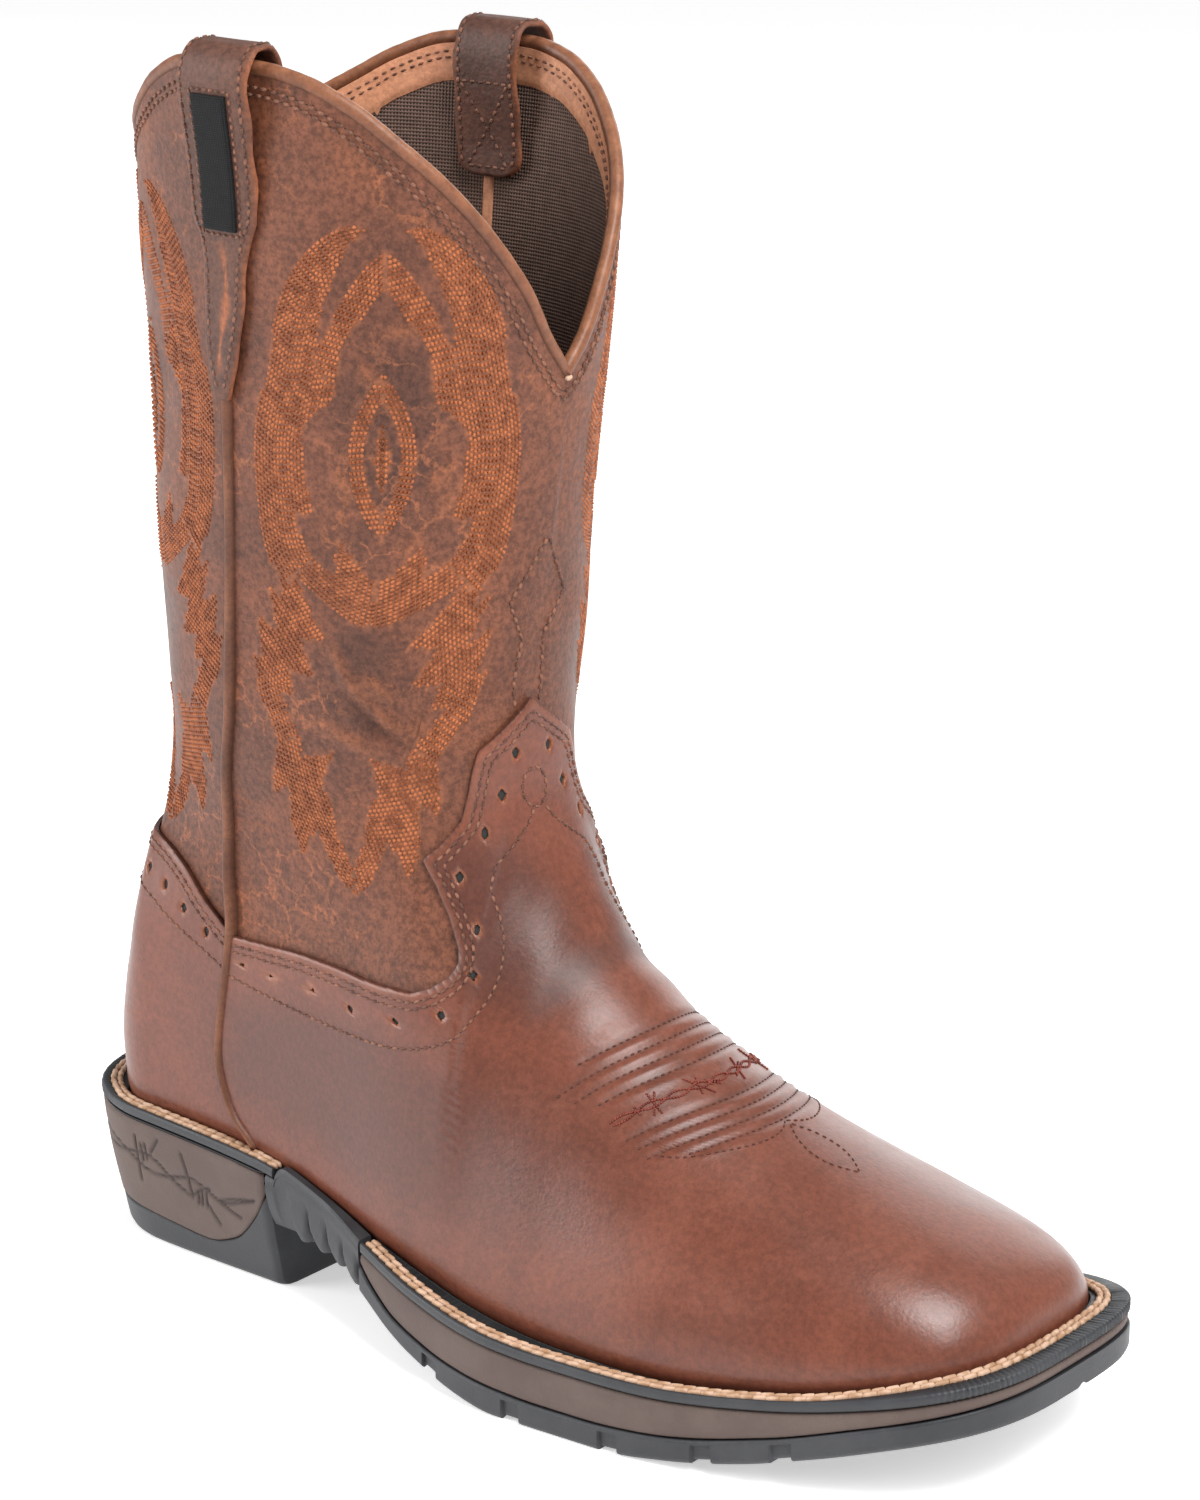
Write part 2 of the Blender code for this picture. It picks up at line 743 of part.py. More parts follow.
# Runs of the sole outline round the heel or the toe, even in arc length, lateral to medial.
def outline_run(start, end_inset, count, toe):
    turn = np.linspace(0.0, np.pi / 2, 500)
    far = SOLE_TOE - end_inset if toe else SOLE_HEEL + end_inset
    x = start + (far - start) * np.sin(turn)
    halves = []
    for side in (-1, 1):
        y = sole_edge(x, side, end_inset)
        halves.append(np.stack([x, y, np.zeros_like(x)], -1))
    path = np.concatenate([halves[0], halves[1][::-1][1:]])
    run = lengths(path)
    return at_lengths(path, run, np.linspace(0.0, run[-1], count))


def panel_low(x):
    return curve(PANEL_LOW["x"], PANEL_LOW["z"], x)


def wall_inset(z, x):
    return 0.4 + 6.0 * (1 - np.clip(z / seat(x), 0.0, 1.0)) ** 1.1


def heel_wall(height, deeper):
    plain = outline_run(BREAST, 0.0, HEEL_COUNT, False)
    plain[:, 2] = height(plain[:, 0])
    inset = wall_inset(plain[:, 2], plain[:, 0]) + deeper
    inward = np.stack([np.gradient(plain[:, 1]), -np.gradient(plain[:, 0])], -1)
    inward = unit(inward)
    centre = plain[:, :2].mean(0)
    inward = inward * np.sign(((centre - plain[:, :2]) * inward).sum(1, keepdims=True))
    inward[0] = (0.0, 1.0)
    inward[-1] = (0.0, -1.0)
    moved = plain.copy()
    moved[:, :2] += inward * inset[:, None]
    moved[:, 0] = np.minimum(moved[:, 0], BREAST)
    return moved


def panel_top(x):
    return seat(x) - 1.2


heel_rows = [
    heel_wall(lambda x: 0 * x, 1.2),
    heel_wall(lambda x: 0 * x + 1.5, 0.0),
    heel_wall(panel_low, 0.0),
    heel_wall(panel_low, PANEL_THICK + GAP),
    heel_wall(panel_top, PANEL_THICK + GAP),
    heel_wall(panel_top, 0.0),
    heel_wall(midsole_top, 0.0),
]
piece("heel", loft(np.array(heel_rows)), "outsole_rubber")

panel_rows = [
    heel_wall(lambda x: panel_low(x) + GAP, PANEL_THICK),
    heel_wall(lambda x: panel_low(x) + GAP, -0.2),
    heel_wall(lambda x: (panel_low(x) + panel_top(x)) / 2, -0.6),
    heel_wall(lambda x: panel_top(x) - GAP, -0.2),
    heel_wall(lambda x: panel_top(x) - GAP, PANEL_THICK),
]
panel = np.array(panel_rows)[:, 1:-1].transpose(1, 0, 2)
piece("heel_panel", loft(panel), "midsole_rubber")


# Lip of the welt between the upper and the outline of the sole.
def welt(path):
    height = seat(path[:, 0])
    inner = []
    for rise in (0.0, WELT_HEIGHT + GAP):
        ring_xy = on_body(level_of(foot_points[0, :, 2] + rise))[0][:, :2]
        closed = np.concatenate([ring_xy, ring_xy[:1]])
        shares = np.linspace(0.0, 0.95, 20)
        spots = np.concatenate([closed[:-1] + np.diff(closed, axis=0) * t for t in shares])
        apart = np.linalg.norm(path[:, None, :2] - spots[None], axis=2)
        inner.append(spots[apart.argmin(1)])
    outward = unit(path[:, :2] - inner[1])
    corners = []
    for k, rise in ((0, 0.0), (1, WELT_HEIGHT)):
        corners.append(np.column_stack([inner[k] + outward * (GAP + 0.3), height + rise]))
        corners.append(np.column_stack([path[:, :2], height + rise]))
    return np.stack([corners[0], corners[1], corners[3], corners[2]], 1)


toe_path = outline_run(FLANGE_END + 1.0, 0.2, 64, True)
piece("welt_fore", loft(welt(toe_path)), "outsole_rubber")
heel_path = outline_run(FLANGE_START - 1.0, 0.2, 34, False)
piece("welt_heel", loft(welt(heel_path)), "outsole_rubber")

# Insole on the floor of the boot.
inset = OVERLAY + OVERLAY_GAP + WALL + 0.6
floor_ring = foot_points[0] - foot_out[0] * inset
lid_ring = floor_ring.copy()
lid_ring[:, 2] += INSOLE_THICK
ahead = np.arange(1, HALF - 1)
across = AROUND - ahead
insole = np.stack([floor_ring[ahead], lid_ring[ahead], lid_ring[across], floor_ring[across]], 1)
piece("insole", loft(insole), "insole_board")

# Colours of the materials: red, green, blue, roughness.
MATERIALS = {
    "shaft_leather": (0.19, 0.085, 0.050, 0.55),
    "foot_leather": (0.21, 0.090, 0.055, 0.42),
    "binding_leather": (0.34, 0.15, 0.075, 0.45),
    "strap_leather": (0.11, 0.055, 0.040, 0.60),
    "patch_fabric": (0.020, 0.020, 0.022, 0.80),
    "midsole_rubber": (0.17, 0.125, 0.105, 0.70),
    "outsole_rubber": (0.040, 0.041, 0.045, 0.62),
    "insole_board": (0.08, 0.055, 0.042, 0.85),
}


def material(name):
    red, green, blue, rough = MATERIALS[name]
    made = bpy.data.materials.get(name) or bpy.data.materials.new(name)
    made.use_nodes = True
    made.diffuse_color = (red, green, blue, 1.0)
    surface = made.node_tree.nodes["Principled BSDF"]
    surface.inputs["Base Color"].default_value = (red, green, blue, 1.0)
    surface.inputs["Roughness"].default_value = rough
    surface.inputs["Metallic"].default_value = 0.0
    return made


# The box of the whole boot stands with the middle of its foot on the origin.
everything = np.concatenate([points for _, points, _, _ in PIECES])
lowest = everything.min(0)
highest = everything.max(0)
origin = np.array([(lowest[0] + highest[0]) / 2, (lowest[1] + highest[1]) / 2, lowest[2]])
for name, points, faces, coat in PIECES:
    mesh = bpy.data.meshes.new(name)
    mesh.from_pydata(((points - origin) * MM).tolist(), [], faces.tolist())
    mesh.materials.append(material(coat))
    mesh.shade_smooth()
    mesh.set_sharp_from_angle(angle=SHARP_ANGLE)
    made = bpy.data.objects.new(name, mesh)
    bpy.context.scene.collection.objects.link(made)
print("origin", origin, "box", lowest, highest)
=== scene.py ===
import math

import bpy
import numpy as np
from mathutils import Matrix, Vector


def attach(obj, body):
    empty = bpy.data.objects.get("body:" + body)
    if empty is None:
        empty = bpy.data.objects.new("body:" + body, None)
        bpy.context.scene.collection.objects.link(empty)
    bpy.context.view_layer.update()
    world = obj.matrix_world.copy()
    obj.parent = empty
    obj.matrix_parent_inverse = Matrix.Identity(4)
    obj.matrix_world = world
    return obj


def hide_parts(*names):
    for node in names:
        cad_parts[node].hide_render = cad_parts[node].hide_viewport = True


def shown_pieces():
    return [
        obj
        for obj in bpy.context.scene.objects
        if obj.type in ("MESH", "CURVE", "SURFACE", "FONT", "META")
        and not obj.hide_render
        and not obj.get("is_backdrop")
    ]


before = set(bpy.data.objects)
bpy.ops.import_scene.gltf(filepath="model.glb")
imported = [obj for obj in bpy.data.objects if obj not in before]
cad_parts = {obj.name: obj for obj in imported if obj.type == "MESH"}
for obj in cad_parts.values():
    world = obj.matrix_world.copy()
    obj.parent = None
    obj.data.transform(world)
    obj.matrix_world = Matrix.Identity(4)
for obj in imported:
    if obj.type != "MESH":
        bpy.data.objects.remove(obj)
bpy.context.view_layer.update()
print("frame loaded with", len(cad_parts), "solids")

# Lengths are millimetres from the heel until a mesh is made; this point then stands on the origin.
mm = 0.001
standing = np.array([154.03007, -0.48070, 0.0])
sideWords = ((-1, "Lateral"), (1, "Medial"))

# The last and the shaft, the same sizes that the solids have.
last = {
    "seat": (
        (0, 37.5), (40, 37.0), (80, 34.5), (105, 29.5), (130, 23.8), (160, 19.0), (190, 17.0), (218, 17.0),
        (250, 20.0), (275, 24.5), (303, 30.2),
    ),
    "front": (
        (22, 292.5), (32, 293.5), (39, 292.0), (45, 286.5), (50, 278.0), (54, 267.5), (60, 249.0), (66, 232.0),
        (74, 212.5), (84, 194.0), (96, 177.0), (110, 163.5), (126, 154.5), (145, 150.0), (165, 149.0), (190, 149.5),
        (244, 155.5), (330, 162.5),
    ),
    "back": (
        (30, 18.5), (44, 17.0), (56, 15.8), (70, 18.3), (85, 23.5), (100, 28.0), (120, 31.0), (150, 33.0),
        (200, 34.2), (250, 33.8), (330, 32.0),
    ),
    "plan": (
        (36, 32.0, 32.0), (70, 33.5, 32.0), (105, 37.0, 32.5), (140, 43.5, 37.0), (175, 49.0, 44.0),
        (205, 50.5, 48.5), (235, 47.5, 49.5), (260, 43.5, 48.0), (296, 38.0, 44.0),
    ),
    "dome": (
        (0, 0.0, 1.80, 2.00), (150, 0.0, 1.55, 1.85), (200, 1.0, 1.80, 1.95), (250, 2.5, 2.20, 2.15),
        (303, 4.0, 2.40, 2.30),
    ),
    "shaft": (
        (90, 33.0, 2.25), (120, 34.5, 2.20), (150, 38.5, 2.20), (200, 44.5, 2.15), (250, 48.5, 2.10),
        (330, 51.5, 2.10),
    ),
    "seam": (
        (20, 74.5), (38, 73.6), (66, 70.7), (94, 70.6), (131, 72.5), (160, 78.7), (214, 87.0), (330, 94.0),
    ),
    "toeStart": 238.0, "toeEnd": 293.5, "toePower": {-1: 2.7, 1: 3.4},
    "heelRound": 38.0, "heelPower": 2.25,
    "tuckShare": 0.06, "tuckHeight": 8.0, "ankle": 150.0, "levelStep": 100.0, "blendStart": 85.0, "legArc": 92.0,
    "overlay": 1.3, "overlayGap": 0.4, "wall": 2.0, "fairStart": 1.0, "fairHeight": 45.0, "shiftFade": 60.0,
    "ridge": (32.0, 160.0, 1200), "ringEnds": ((60.0, 300.0, "front"), (-5.0, 60.0, "back")),
    "footRows": 170, "shaftRows": 110, "frontColumns": 150, "backColumns": 66, "topLevel": 2.8,
}


# Monotone cubic through a table: Hermite pieces, each inner slope the weighted harmonic mean of its neighbours.
def curve(rows, at, column=1):
    rows = np.asarray(rows, float)
    known, values = rows[:, 0], rows[:, column]
    at = np.clip(np.asarray(at, float), known[0], known[-1])
    step = np.diff(known)
    slope = np.diff(values) / step
    first, second = 2 * step[1:] + step[:-1], step[1:] + 2 * step[:-1]
    same = slope[:-1] * slope[1:] > 0
    product = np.where(same, slope[:-1] * slope[1:], 1.0)
    mixed = np.where(same, first * slope[1:] + second * slope[:-1], 1.0)
    bend = np.concatenate([slope[:1], np.where(same, (first + second) * product / mixed, 0.0), slope[-1:]])
    i = np.clip(np.searchsorted(known, at, side="right") - 1, 0, len(known) - 2)
    t = (at - known[i]) / step[i]
    low = values[i] * (1 + 2 * t) * (1 - t) ** 2 + bend[i] * step[i] * t * (1 - t) ** 2
    return low + values[i + 1] * t * t * (3 - 2 * t) + bend[i + 1] * step[i] * t * t * (t - 1)


# Smooth step: 3t^2 - 2t^3 between 0 and 1.
def ease(t):
    t = np.clip(t, 0.0, 1.0)
    return t * t * (3 - 2 * t)


# Even steps through spans of (from, to, count), with the ends that two spans share kept once.
def steps(*spans):
    rows = [np.linspace(*span) for span in spans]
    return np.concatenate([row[:-1] for row in rows[:-1]] + rows[-1:])


# Vectors divided by their length.
def unit(vectors):
    return vectors / np.maximum(np.linalg.norm(vectors, axis=-1, keepdims=True), 1e-9)


# Bell of height 1 at 0 and width of about one.
def bell(t):
    return np.exp(-np.square(t))


def seat(x):
    return curve(last["seat"], x)


def shift(x):
    return curve(last["dome"], x, 1)


ridgeZ = np.linspace(*last["ridge"])
ridgeX = curve(last["front"], ridgeZ)


# Height of the front line over a station; behind the instep it climbs as 2.5b + 0.12b^2.
def ridge(x):
    behind = np.clip(ridgeX[-1] - x, 0.0, None)
    return np.interp(x, ridgeX[::-1], ridgeZ[::-1]) + 2.5 * behind + 0.12 * behind**2


# Half width: the last's plan, closed by superellipses at toe and heel, domed by (1 - t^rise)^(1/round) up to the
# front line, and eased from the ankle up into the shaft's superellipse.
def halfWidth(x, z, side):
    low = seat(x)
    width = curve(last["plan"], x, 1 if side < 0 else 2)
    toe = np.clip((x - last["toeStart"]) / (last["toeEnd"] - last["toeStart"]), 0.0, 1.0)
    power = last["toePower"][side]
    width = width * (1 - toe**power) ** (1 / power)
    ahead, behind = curve(last["front"], z), curve(last["back"], z)
    heel = np.clip((last["heelRound"] - x) / (last["heelRound"] - behind), 0.0, 1.0)
    width = width * (1 - heel ** last["heelPower"]) ** (1 / last["heelPower"])
    t = np.clip((z - low) / np.maximum(ridge(x) - low, 1e-6), 0.0, 1.0)
    tuck = 1 - last["tuckShare"] * np.clip(1 - (z - low) / last["tuckHeight"], 0.0, 1.0) ** 2
    foot = width * (1 - t ** curve(last["dome"], x, 2)) ** (1 / curve(last["dome"], x, 3)) * tuck
    power = curve(last["shaft"], z, 2)
    along = np.clip(np.abs((2 * x - ahead - behind) / (ahead - behind)), 0.0, 1.0)
    oval = curve(last["shaft"], z) * (1 - along**power) ** (1 / power)
    share = ease((z - last["blendStart"]) / (last["ankle"] - last["blendStart"]))
    return foot * (1 - share) + oval * share


# Height of a ring: level 0 lies on the sole, 1 is the ankle, each further 1 is 100 mm of shaft.
def ringHeight(x, level):
    low = seat(x)
    return np.where(level <= 1, low + (last["ankle"] - low) * level, last["ankle"] + (level - 1) * last["levelStep"])


# Halves an interval a number of times, keeping the place where a test turns from true to false.
def halved(low, high, test, times=24):
    for _ in range(times):
        middle = (low + high) / 2
        passed = test(middle)
        low, high = np.where(passed, middle, low), np.where(passed, high, middle)
    return low, high


# Half rings for a run of levels, front centre to back centre; both ends are found by halving the interval.
def halfRings(levels, side, count=400):
    levels = levels[:, None]
    ends = []
    for low, high, line in last["ringEnds"]:
        low, high = np.full(levels.shape, low), np.full(levels.shape, high)
        ends.append(halved(low, high, lambda x: x < curve(last[line], ringHeight(x, levels)), 45)[0])
    x = ends[1] + (ends[0] - ends[1]) * (1 + np.cos(np.linspace(0, np.pi, count))) / 2
    z = ringHeight(x, levels)
    y = halfWidth(x, z, side)
    y[:, [0, -1]] = 0.0
    middle = shift(x) * np.clip((last["ankle"] - z) / last["shiftFade"], 0.0, 1.0)
    return np.stack([x, middle + side * y, z], -1)


# Lengths along paths, from 0 at their first points.
def runOf(paths):
    step = np.linalg.norm(np.diff(paths, axis=-2), axis=-1)
    return np.concatenate([np.zeros(step.shape[:-1] + (1,)), np.cumsum(step, -1)], -1)


# A path read at given lengths.
def atRun(path, where):
    run = runOf(path)
    return np.stack([np.interp(where, run, path[:, k]) for k in range(path.shape[1])], -1)


levels = steps((0, 1, last["footRows"]), (1, last["topLevel"], last["shaftRows"] + 1))
shares = steps((0, 1, last["frontColumns"] + 1), (1, 2, last["backColumns"] + 1))


# Half of the body: each ring read at equal shares of arc, 0 to 1 from front centre to side seam, 1 to 2 on to the back.
def halfBody(side):
    path = halfRings(levels, side)
    run = runOf(path)
    behind = curve(last["seam"], path[..., 2]) - path[..., 0]
    seam = np.array([np.interp(0.0, b, r) for b, r in zip(behind, run)])
    rest = run[:, -1] - seam
    where = np.where(shares <= 1, shares * seam[:, None], seam[:, None] + (shares - 1) * rest[:, None])
    points = np.array([[np.interp(w, r, p[:, k]) for k in range(3)] for w, r, p in zip(where, run, path)])
    return points.transpose(0, 2, 1), seam, rest


halves = {side: halfBody(side) for side in (-1, 1)}
# Turn t goes 0 to 2 along the lateral half and 2 to 4 back along the medial half, so -1 is the medial seam.
turns = np.concatenate([shares, 4 - shares[1:-1][::-1]])
body = np.concatenate([halves[-1][0], halves[1][0][:, 1:-1][:, ::-1]], 1)
around = body.shape[1]
bodyOut = unit(np.cross(np.gradient(body, axis=0), np.roll(body, -1, 1) - np.roll(body, 1, 1)))
turnEdges = np.append(turns, 4.0)


# Corner numbers and weights of a point of the body: two columns and two rows, mixed by bilinear weights.
def mixer(t, level):
    t, level = np.broadcast_arrays(np.mod(t, 4.0), level)
    c = np.interp(t, turnEdges, np.arange(around + 1))
    j = np.minimum(c.astype(int), around - 1)
    r = np.interp(level, levels, np.arange(len(levels)))
    i = np.minimum(r.astype(int), len(levels) - 2)
    return i, j, (j + 1) % around, (r - i)[..., None], (c - j)[..., None]


def mixed(grid, i, j, k, g, f):
    return (grid[i, j] * (1 - f) + grid[i, k] * f) * (1 - g) + (grid[i + 1, j] * (1 - f) + grid[i + 1, k] * f) * g


# Points and outward directions of the body.
def onBody(t, level):
    place = mixer(t, level)
    return mixed(body, *place), unit(mixed(bodyOut, *place))


# Level at which a turn reaches a height, by halving the interval.
def levelAt(t, z):
    t, z = np.broadcast_arrays(np.asarray(t, float), np.asarray(z, float))
    under = lambda level: mixed(body[..., 2:], *mixer(t, level))[..., 0] < z
    low, high = halved(np.zeros(z.shape), np.full(z.shape, last["topLevel"]), under)
    return (low + high) / 2


# Level of a height beside a leg's seam: even steps over the ankle, searched below it.
def legLevel(side, z):
    low = levelAt(1.0 if side < 0 else 3.0, np.minimum(z, last["ankle"]))
    return np.where(z < last["ankle"], low, 1 + (z - last["ankle"]) / last["levelStep"])


# Arc lengths of a half ring at a level, front centre to seam or seam to back centre.
def seamArc(side, level, back):
    return np.interp(level, levels, halves[side][2 if back else 1])


# Turn of a place beside a side seam, by its arc length from the seam, positive to the back.
def besideSeam(side, level, along):
    share = 1 + np.where(along < 0, along / seamArc(side, level, False), along / seamArc(side, level, True))
    return share if side < 0 else 4 - share


# Share of a turn: 0 at the front centre, 1 at the seams, 2 at the back.
def shareOf(t):
    t = np.mod(t, 4.0)
    return np.minimum(t, 4 - t)


# The piped seam swings back over the heel and forward again at the welt: height, arc length off the plain seam.
seamSwing = (
    (36, -4.5), (41, -1.4), (45.5, 3.0), (52, 5.4), (59, 6.3), (66, 5.6), (76, 3.9), (88, 1.7), (98, 0.6),
    (112, 1.5), (131, 0.4), (160, 0.0), (330, 0.0),
)
swingHeights, swingReach = (35.3, 114.7), 40.0  # height at level 0 and per level below the ankle, reach in mm


# Turns moved with the swing of the seam, by a share that falls to nothing 40 mm from it.
def swungTurn(t, level):
    t, level = np.broadcast_arrays(t, level)
    share, medial = shareOf(t), (t < 0) | (t > 2)
    arcs = [np.where(medial, seamArc(1, level, back), seamArc(-1, level, back)) for back in (False, True)]
    ahead, behind = arcs
    along = (share - 1) * np.where(share < 1, ahead, behind)
    swing = curve(seamSwing, swingHeights[0] + swingHeights[1] * level) * ease(1 - np.abs(along) / swingReach)
    along = along + swing
    share = 1 + along / np.where(along < 0, ahead, behind)
    return np.where(t < 0, -share, np.where(t > 2, 4 - share, share))


print("body worked out:", body.shape[0], "rings of", around, "points")

# The panels' edges: shares and heights, from the front centre to the seam, then to the back.
panels = {
    "solidVamp": (
        (0.0, 166.0), (0.155, 158.5), (0.245, 152.5), (0.262, 143.0), (0.375, 129.0), (0.405, 112.0), (0.44, 99.5),
        (0.51, 95.5), (0.66, 95.0), (0.80, 96.0), (1.0, 94.4),
    ),
    "counter": ((0.0, 94.4), (0.15, 101.4), (0.30, 109.0), (0.45, 113.0), (1.0, 118.0)),
    "vamp": (
        (0.066, 166.0), (0.090, 163.8), (0.157, 159.2), (0.233, 154.0), (0.248, 148.4), (0.262, 142.0),
        (0.280, 136.8), (0.343, 130.6), (0.394, 127.0), (0.369, 121.0), (0.350, 113.7), (0.347, 107.0),
        (0.358, 103.5), (0.392, 100.2), (0.448, 96.8), (0.506, 94.6), (0.600, 94.4), (0.700, 95.2), (0.807, 95.6),
        (1.0, 94.4),
    ),
    "tongueLean": ((90, 0.045), (130, 0.06), (165, 0.066), (202, 0.025), (245, 0.0)),
    "collarFront": (
        (0.0, 245.0), (0.096, 256.0), (0.163, 266.8), (0.24, 277.0), (0.317, 286.0), (0.42, 296.0), (0.52, 304.0),
        (0.625, 311.5), (0.76, 317.5), (0.88, 319.6), (1.0, 320.0),
    ),
    "collarBack": (
        (0.0, 320.0), (0.17, 318.8), (0.33, 313.5), (0.45, 307.0), (0.57, 300.5), (0.75, 290.0), (0.90, 282.0),
        (1.0, 278.5),
    ),
    "medialDrop": 6.0, "leanFade": (0.3, 0.5),
}


# Height of the collar at a turn; the medial half stands lower, in proportion to its height over the two dips.
def collarHeight(t):
    share = shareOf(t)
    height = np.where(share <= 1, curve(panels["collarFront"], share), curve(panels["collarBack"], share - 1))
    foot = np.where(share <= 1, panels["collarFront"][0][1], panels["collarBack"][-1][1])
    drop = panels["medialDrop"] * (height - foot) / (panels["collarBack"][0][1] - foot)
    return height - np.where(np.mod(t, 4.0) > 2, drop, 0.0)


# Height of the solids' panel edges at a turn.
def panelEdge(t):
    share = shareOf(t)
    return np.where(share <= 1, curve(panels["solidVamp"], share), curve(panels["counter"], share - 1))


# Depth of the shaft's skin under the body: below the overlays, then eased out to it.
def skinDepth(t, z):
    return (last["overlay"] + last["overlayGap"]) * (1
        - ease((z - panelEdge(t) - last["fairStart"]) / last["fairHeight"]))


# The other side's share of a front feature: mirrored about the leaning centre line, and unchanged at the seam.
def mirrored(share, z):
    fade = 1 - ease((share - panels["leanFade"][0]) / panels["leanFade"][1])
    return -share + 2 * curve(panels["tongueLean"], z) * fade


# Rows of shares and heights mirrored so.
def mirroredRows(rows):
    return np.stack([mirrored(rows[:, 0], rows[:, 1]), rows[:, 1]], -1)


stains = {
    # darkened places: share, height, half width and half height in mm, strength
    "shaft": (
        (0.525, 236.0, 17.0, 30.0, 0.75), (0.555, 170.0, 16.0, 20.0, 0.75), (0.14, 262.0, 10.0, 15.0, 0.4),
        (0.10, 190.0, 9.0, 16.0, 0.45), (0.80, 282.0, 20.0, 14.0, 0.3), (1.5, 234.0, 14.0, 26.0, 0.6),
        (1.5, 172.0, 13.0, 18.0, 0.6), (0.60, 128.0, 24.0, 14.0, 0.35),
    ),
    "foot": (
        (0.74, 62.0, 40.0, 26.0, 0.75), (0.24, 112.0, 20.0, 24.0, 0.8), (0.50, 68.0, 30.0, 20.0, 0.5),
        (0.30, 74.0, 18.0, 14.0, 0.3),
    ),
}


# Dark mask of a part: the strongest of its stains, each a bell over an ellipse on the skin, alike on both sides.
def stainOf(part, t, z):
    share = shareOf(t)
    shade = np.zeros(np.broadcast(share, z).shape)
    for place, height, wide, tall, strength in stains[part]:
        a, b = (share - place) * last["legArc"] / wide, (z - height) / tall
        shade = np.maximum(shade, strength * bell(np.square(a) + np.square(b)))
    return shade


# Place along a segment that is nearest to a point, as a share, and the distance; a and b are the point from its start.
def fromSegment(a, b, da, db):
    near = np.clip((a * da + b * db) / (da**2 + db**2), 0, 1)
    return near, np.hypot(a - near * da, b - near * db)


creases = {
    # folds of the shaft: turn and height of both ends, width in mm, rise in mm
    "folds": (
        (0.63, 175.0, 0.52, 164.0, 1.6, 1.1), (0.53, 165.0, 0.42, 158.5, 1.5, 1.2),
        (0.43, 158.5, 0.36, 162.5, 1.4, 1.0), (0.61, 169.0, 0.46, 156.0, 1.6, -0.8),
        (0.70, 160.0, 0.50, 153.0, 1.8, 0.7), (0.57, 173.0, 0.45, 167.0, 1.4, 0.7),
        (0.54, 161.0, 0.40, 154.5, 1.5, -0.7), (0.66, 181.0, 0.60, 172.0, 1.4, 0.6),
        (0.37, 214.0, 0.30, 223.0, 2.0, 0.45), (0.40, 221.0, 0.34, 226.0, 1.8, 0.4),
        (0.52, 259.0, 0.40, 263.0, 2.0, 0.5), (0.60, 252.0, 0.54, 247.0, 1.8, 0.5),
        (0.66, 226.0, 0.60, 219.0, 1.8, 0.4), (0.47, 205.0, 0.40, 210.0, 1.8, 0.4),
        (3.50, 176.0, 3.36, 164.0, 2.2, 0.60), (3.44, 170.0, 3.30, 158.0, 2.0, -0.55),
        (1.62, 150.0, 2.38, 152.0, 4.5, -0.80), (1.66, 136.0, 2.34, 137.0, 5.0, 0.60),
        (1.70, 165.0, 2.30, 164.0, 4.0, 0.45),
    ),
    # soft troughs over the instep: station at the centre, bow, half width in y, width, rise
    "instep": (
        (169.0, 0.010, 34.0, 4.6, -0.55), (177.0, 0.012, 33.0, 3.8, 0.40), (160.5, 0.008, 34.0, 5.0, 0.35),
    ),
    "endFade": 0.8, "instepFade": 16.0,
    # slow waves: rise, start and run of the growth up the leg, waves per turn, heights of the waves
    "sway": 0.55, "swayStart": 120.0, "swayRun": 60.0, "swayTurns": (5.1, 2.3), "swayHeights": (23.0, 31.0),
    "swayBend": 1.7,
}


# Slow waves of the shaft's skin, around and up the leg.
def shaftSway(t, z):
    up = creases["sway"] * ease((z - creases["swayStart"]) / creases["swayRun"])
    (fast, slow), (short, tall) = creases["swayTurns"], creases["swayHeights"]
    return up * np.sin(t * fast + z / short) * np.sin(z / tall + creases["swayBend"] * np.sin(t * slow))


# Folds of the shaft's skin: a bell across each, faded at its ends; gives the lift and the marks of ridges and troughs.
def foldMarks(t, z):
    t, z = np.broadcast_arrays(np.mod(t, 4.0), z)
    lift, crest, trough = np.zeros(z.shape), np.zeros(z.shape), np.zeros(z.shape)
    for t0, z0, t1, z1, wide, rise in creases["folds"]:
        near, away = fromSegment((t - t0) * last["legArc"], z - z0, (t1 - t0) * last["legArc"], z1 - z0)
        mark = bell(away / wide) * (1 - creases["endFade"] * np.square(2 * near - 1))
        lift = lift + rise * mark
        crest, trough = (np.maximum(crest, mark), trough) if rise > 0 else (crest, np.maximum(trough, mark))
    return lift, crest, trough


# Lift of the shaft's outer face from waves and folds.
def shaftFolds(t, z):
    t = np.mod(t, 4.0)
    return shaftSway(t, z) + foldMarks(t, z)[0]


# Lift of the whole shaft skin over the body.
def shaftLift(t, z):
    return shaftFolds(t, z) - skinDepth(t, z)


toeRows = {
    "rows": (  # station at the centre line, half width
        (186.5, 25.0), (190.0, 31.0), (193.6, 30.0), (197.4, 28.0), (209.0, 30.0), (212.6, 30.0), (216.2, 30.5),
        (219.8, 25.0),
    ),
    "bow": 0.0155, "groove": 0.50, "wide": 1.2, "rib": 0.22, "ribAway": 1.8, "ribWide": 1.3, "wireStation": 203.4,
    "topStart": 22.0, "topRun": 14.0, "endOver": 1.5, "endRun": 5.0,
    "pitch": 1.9, "gap": 0.55, "radius": 0.26,
}


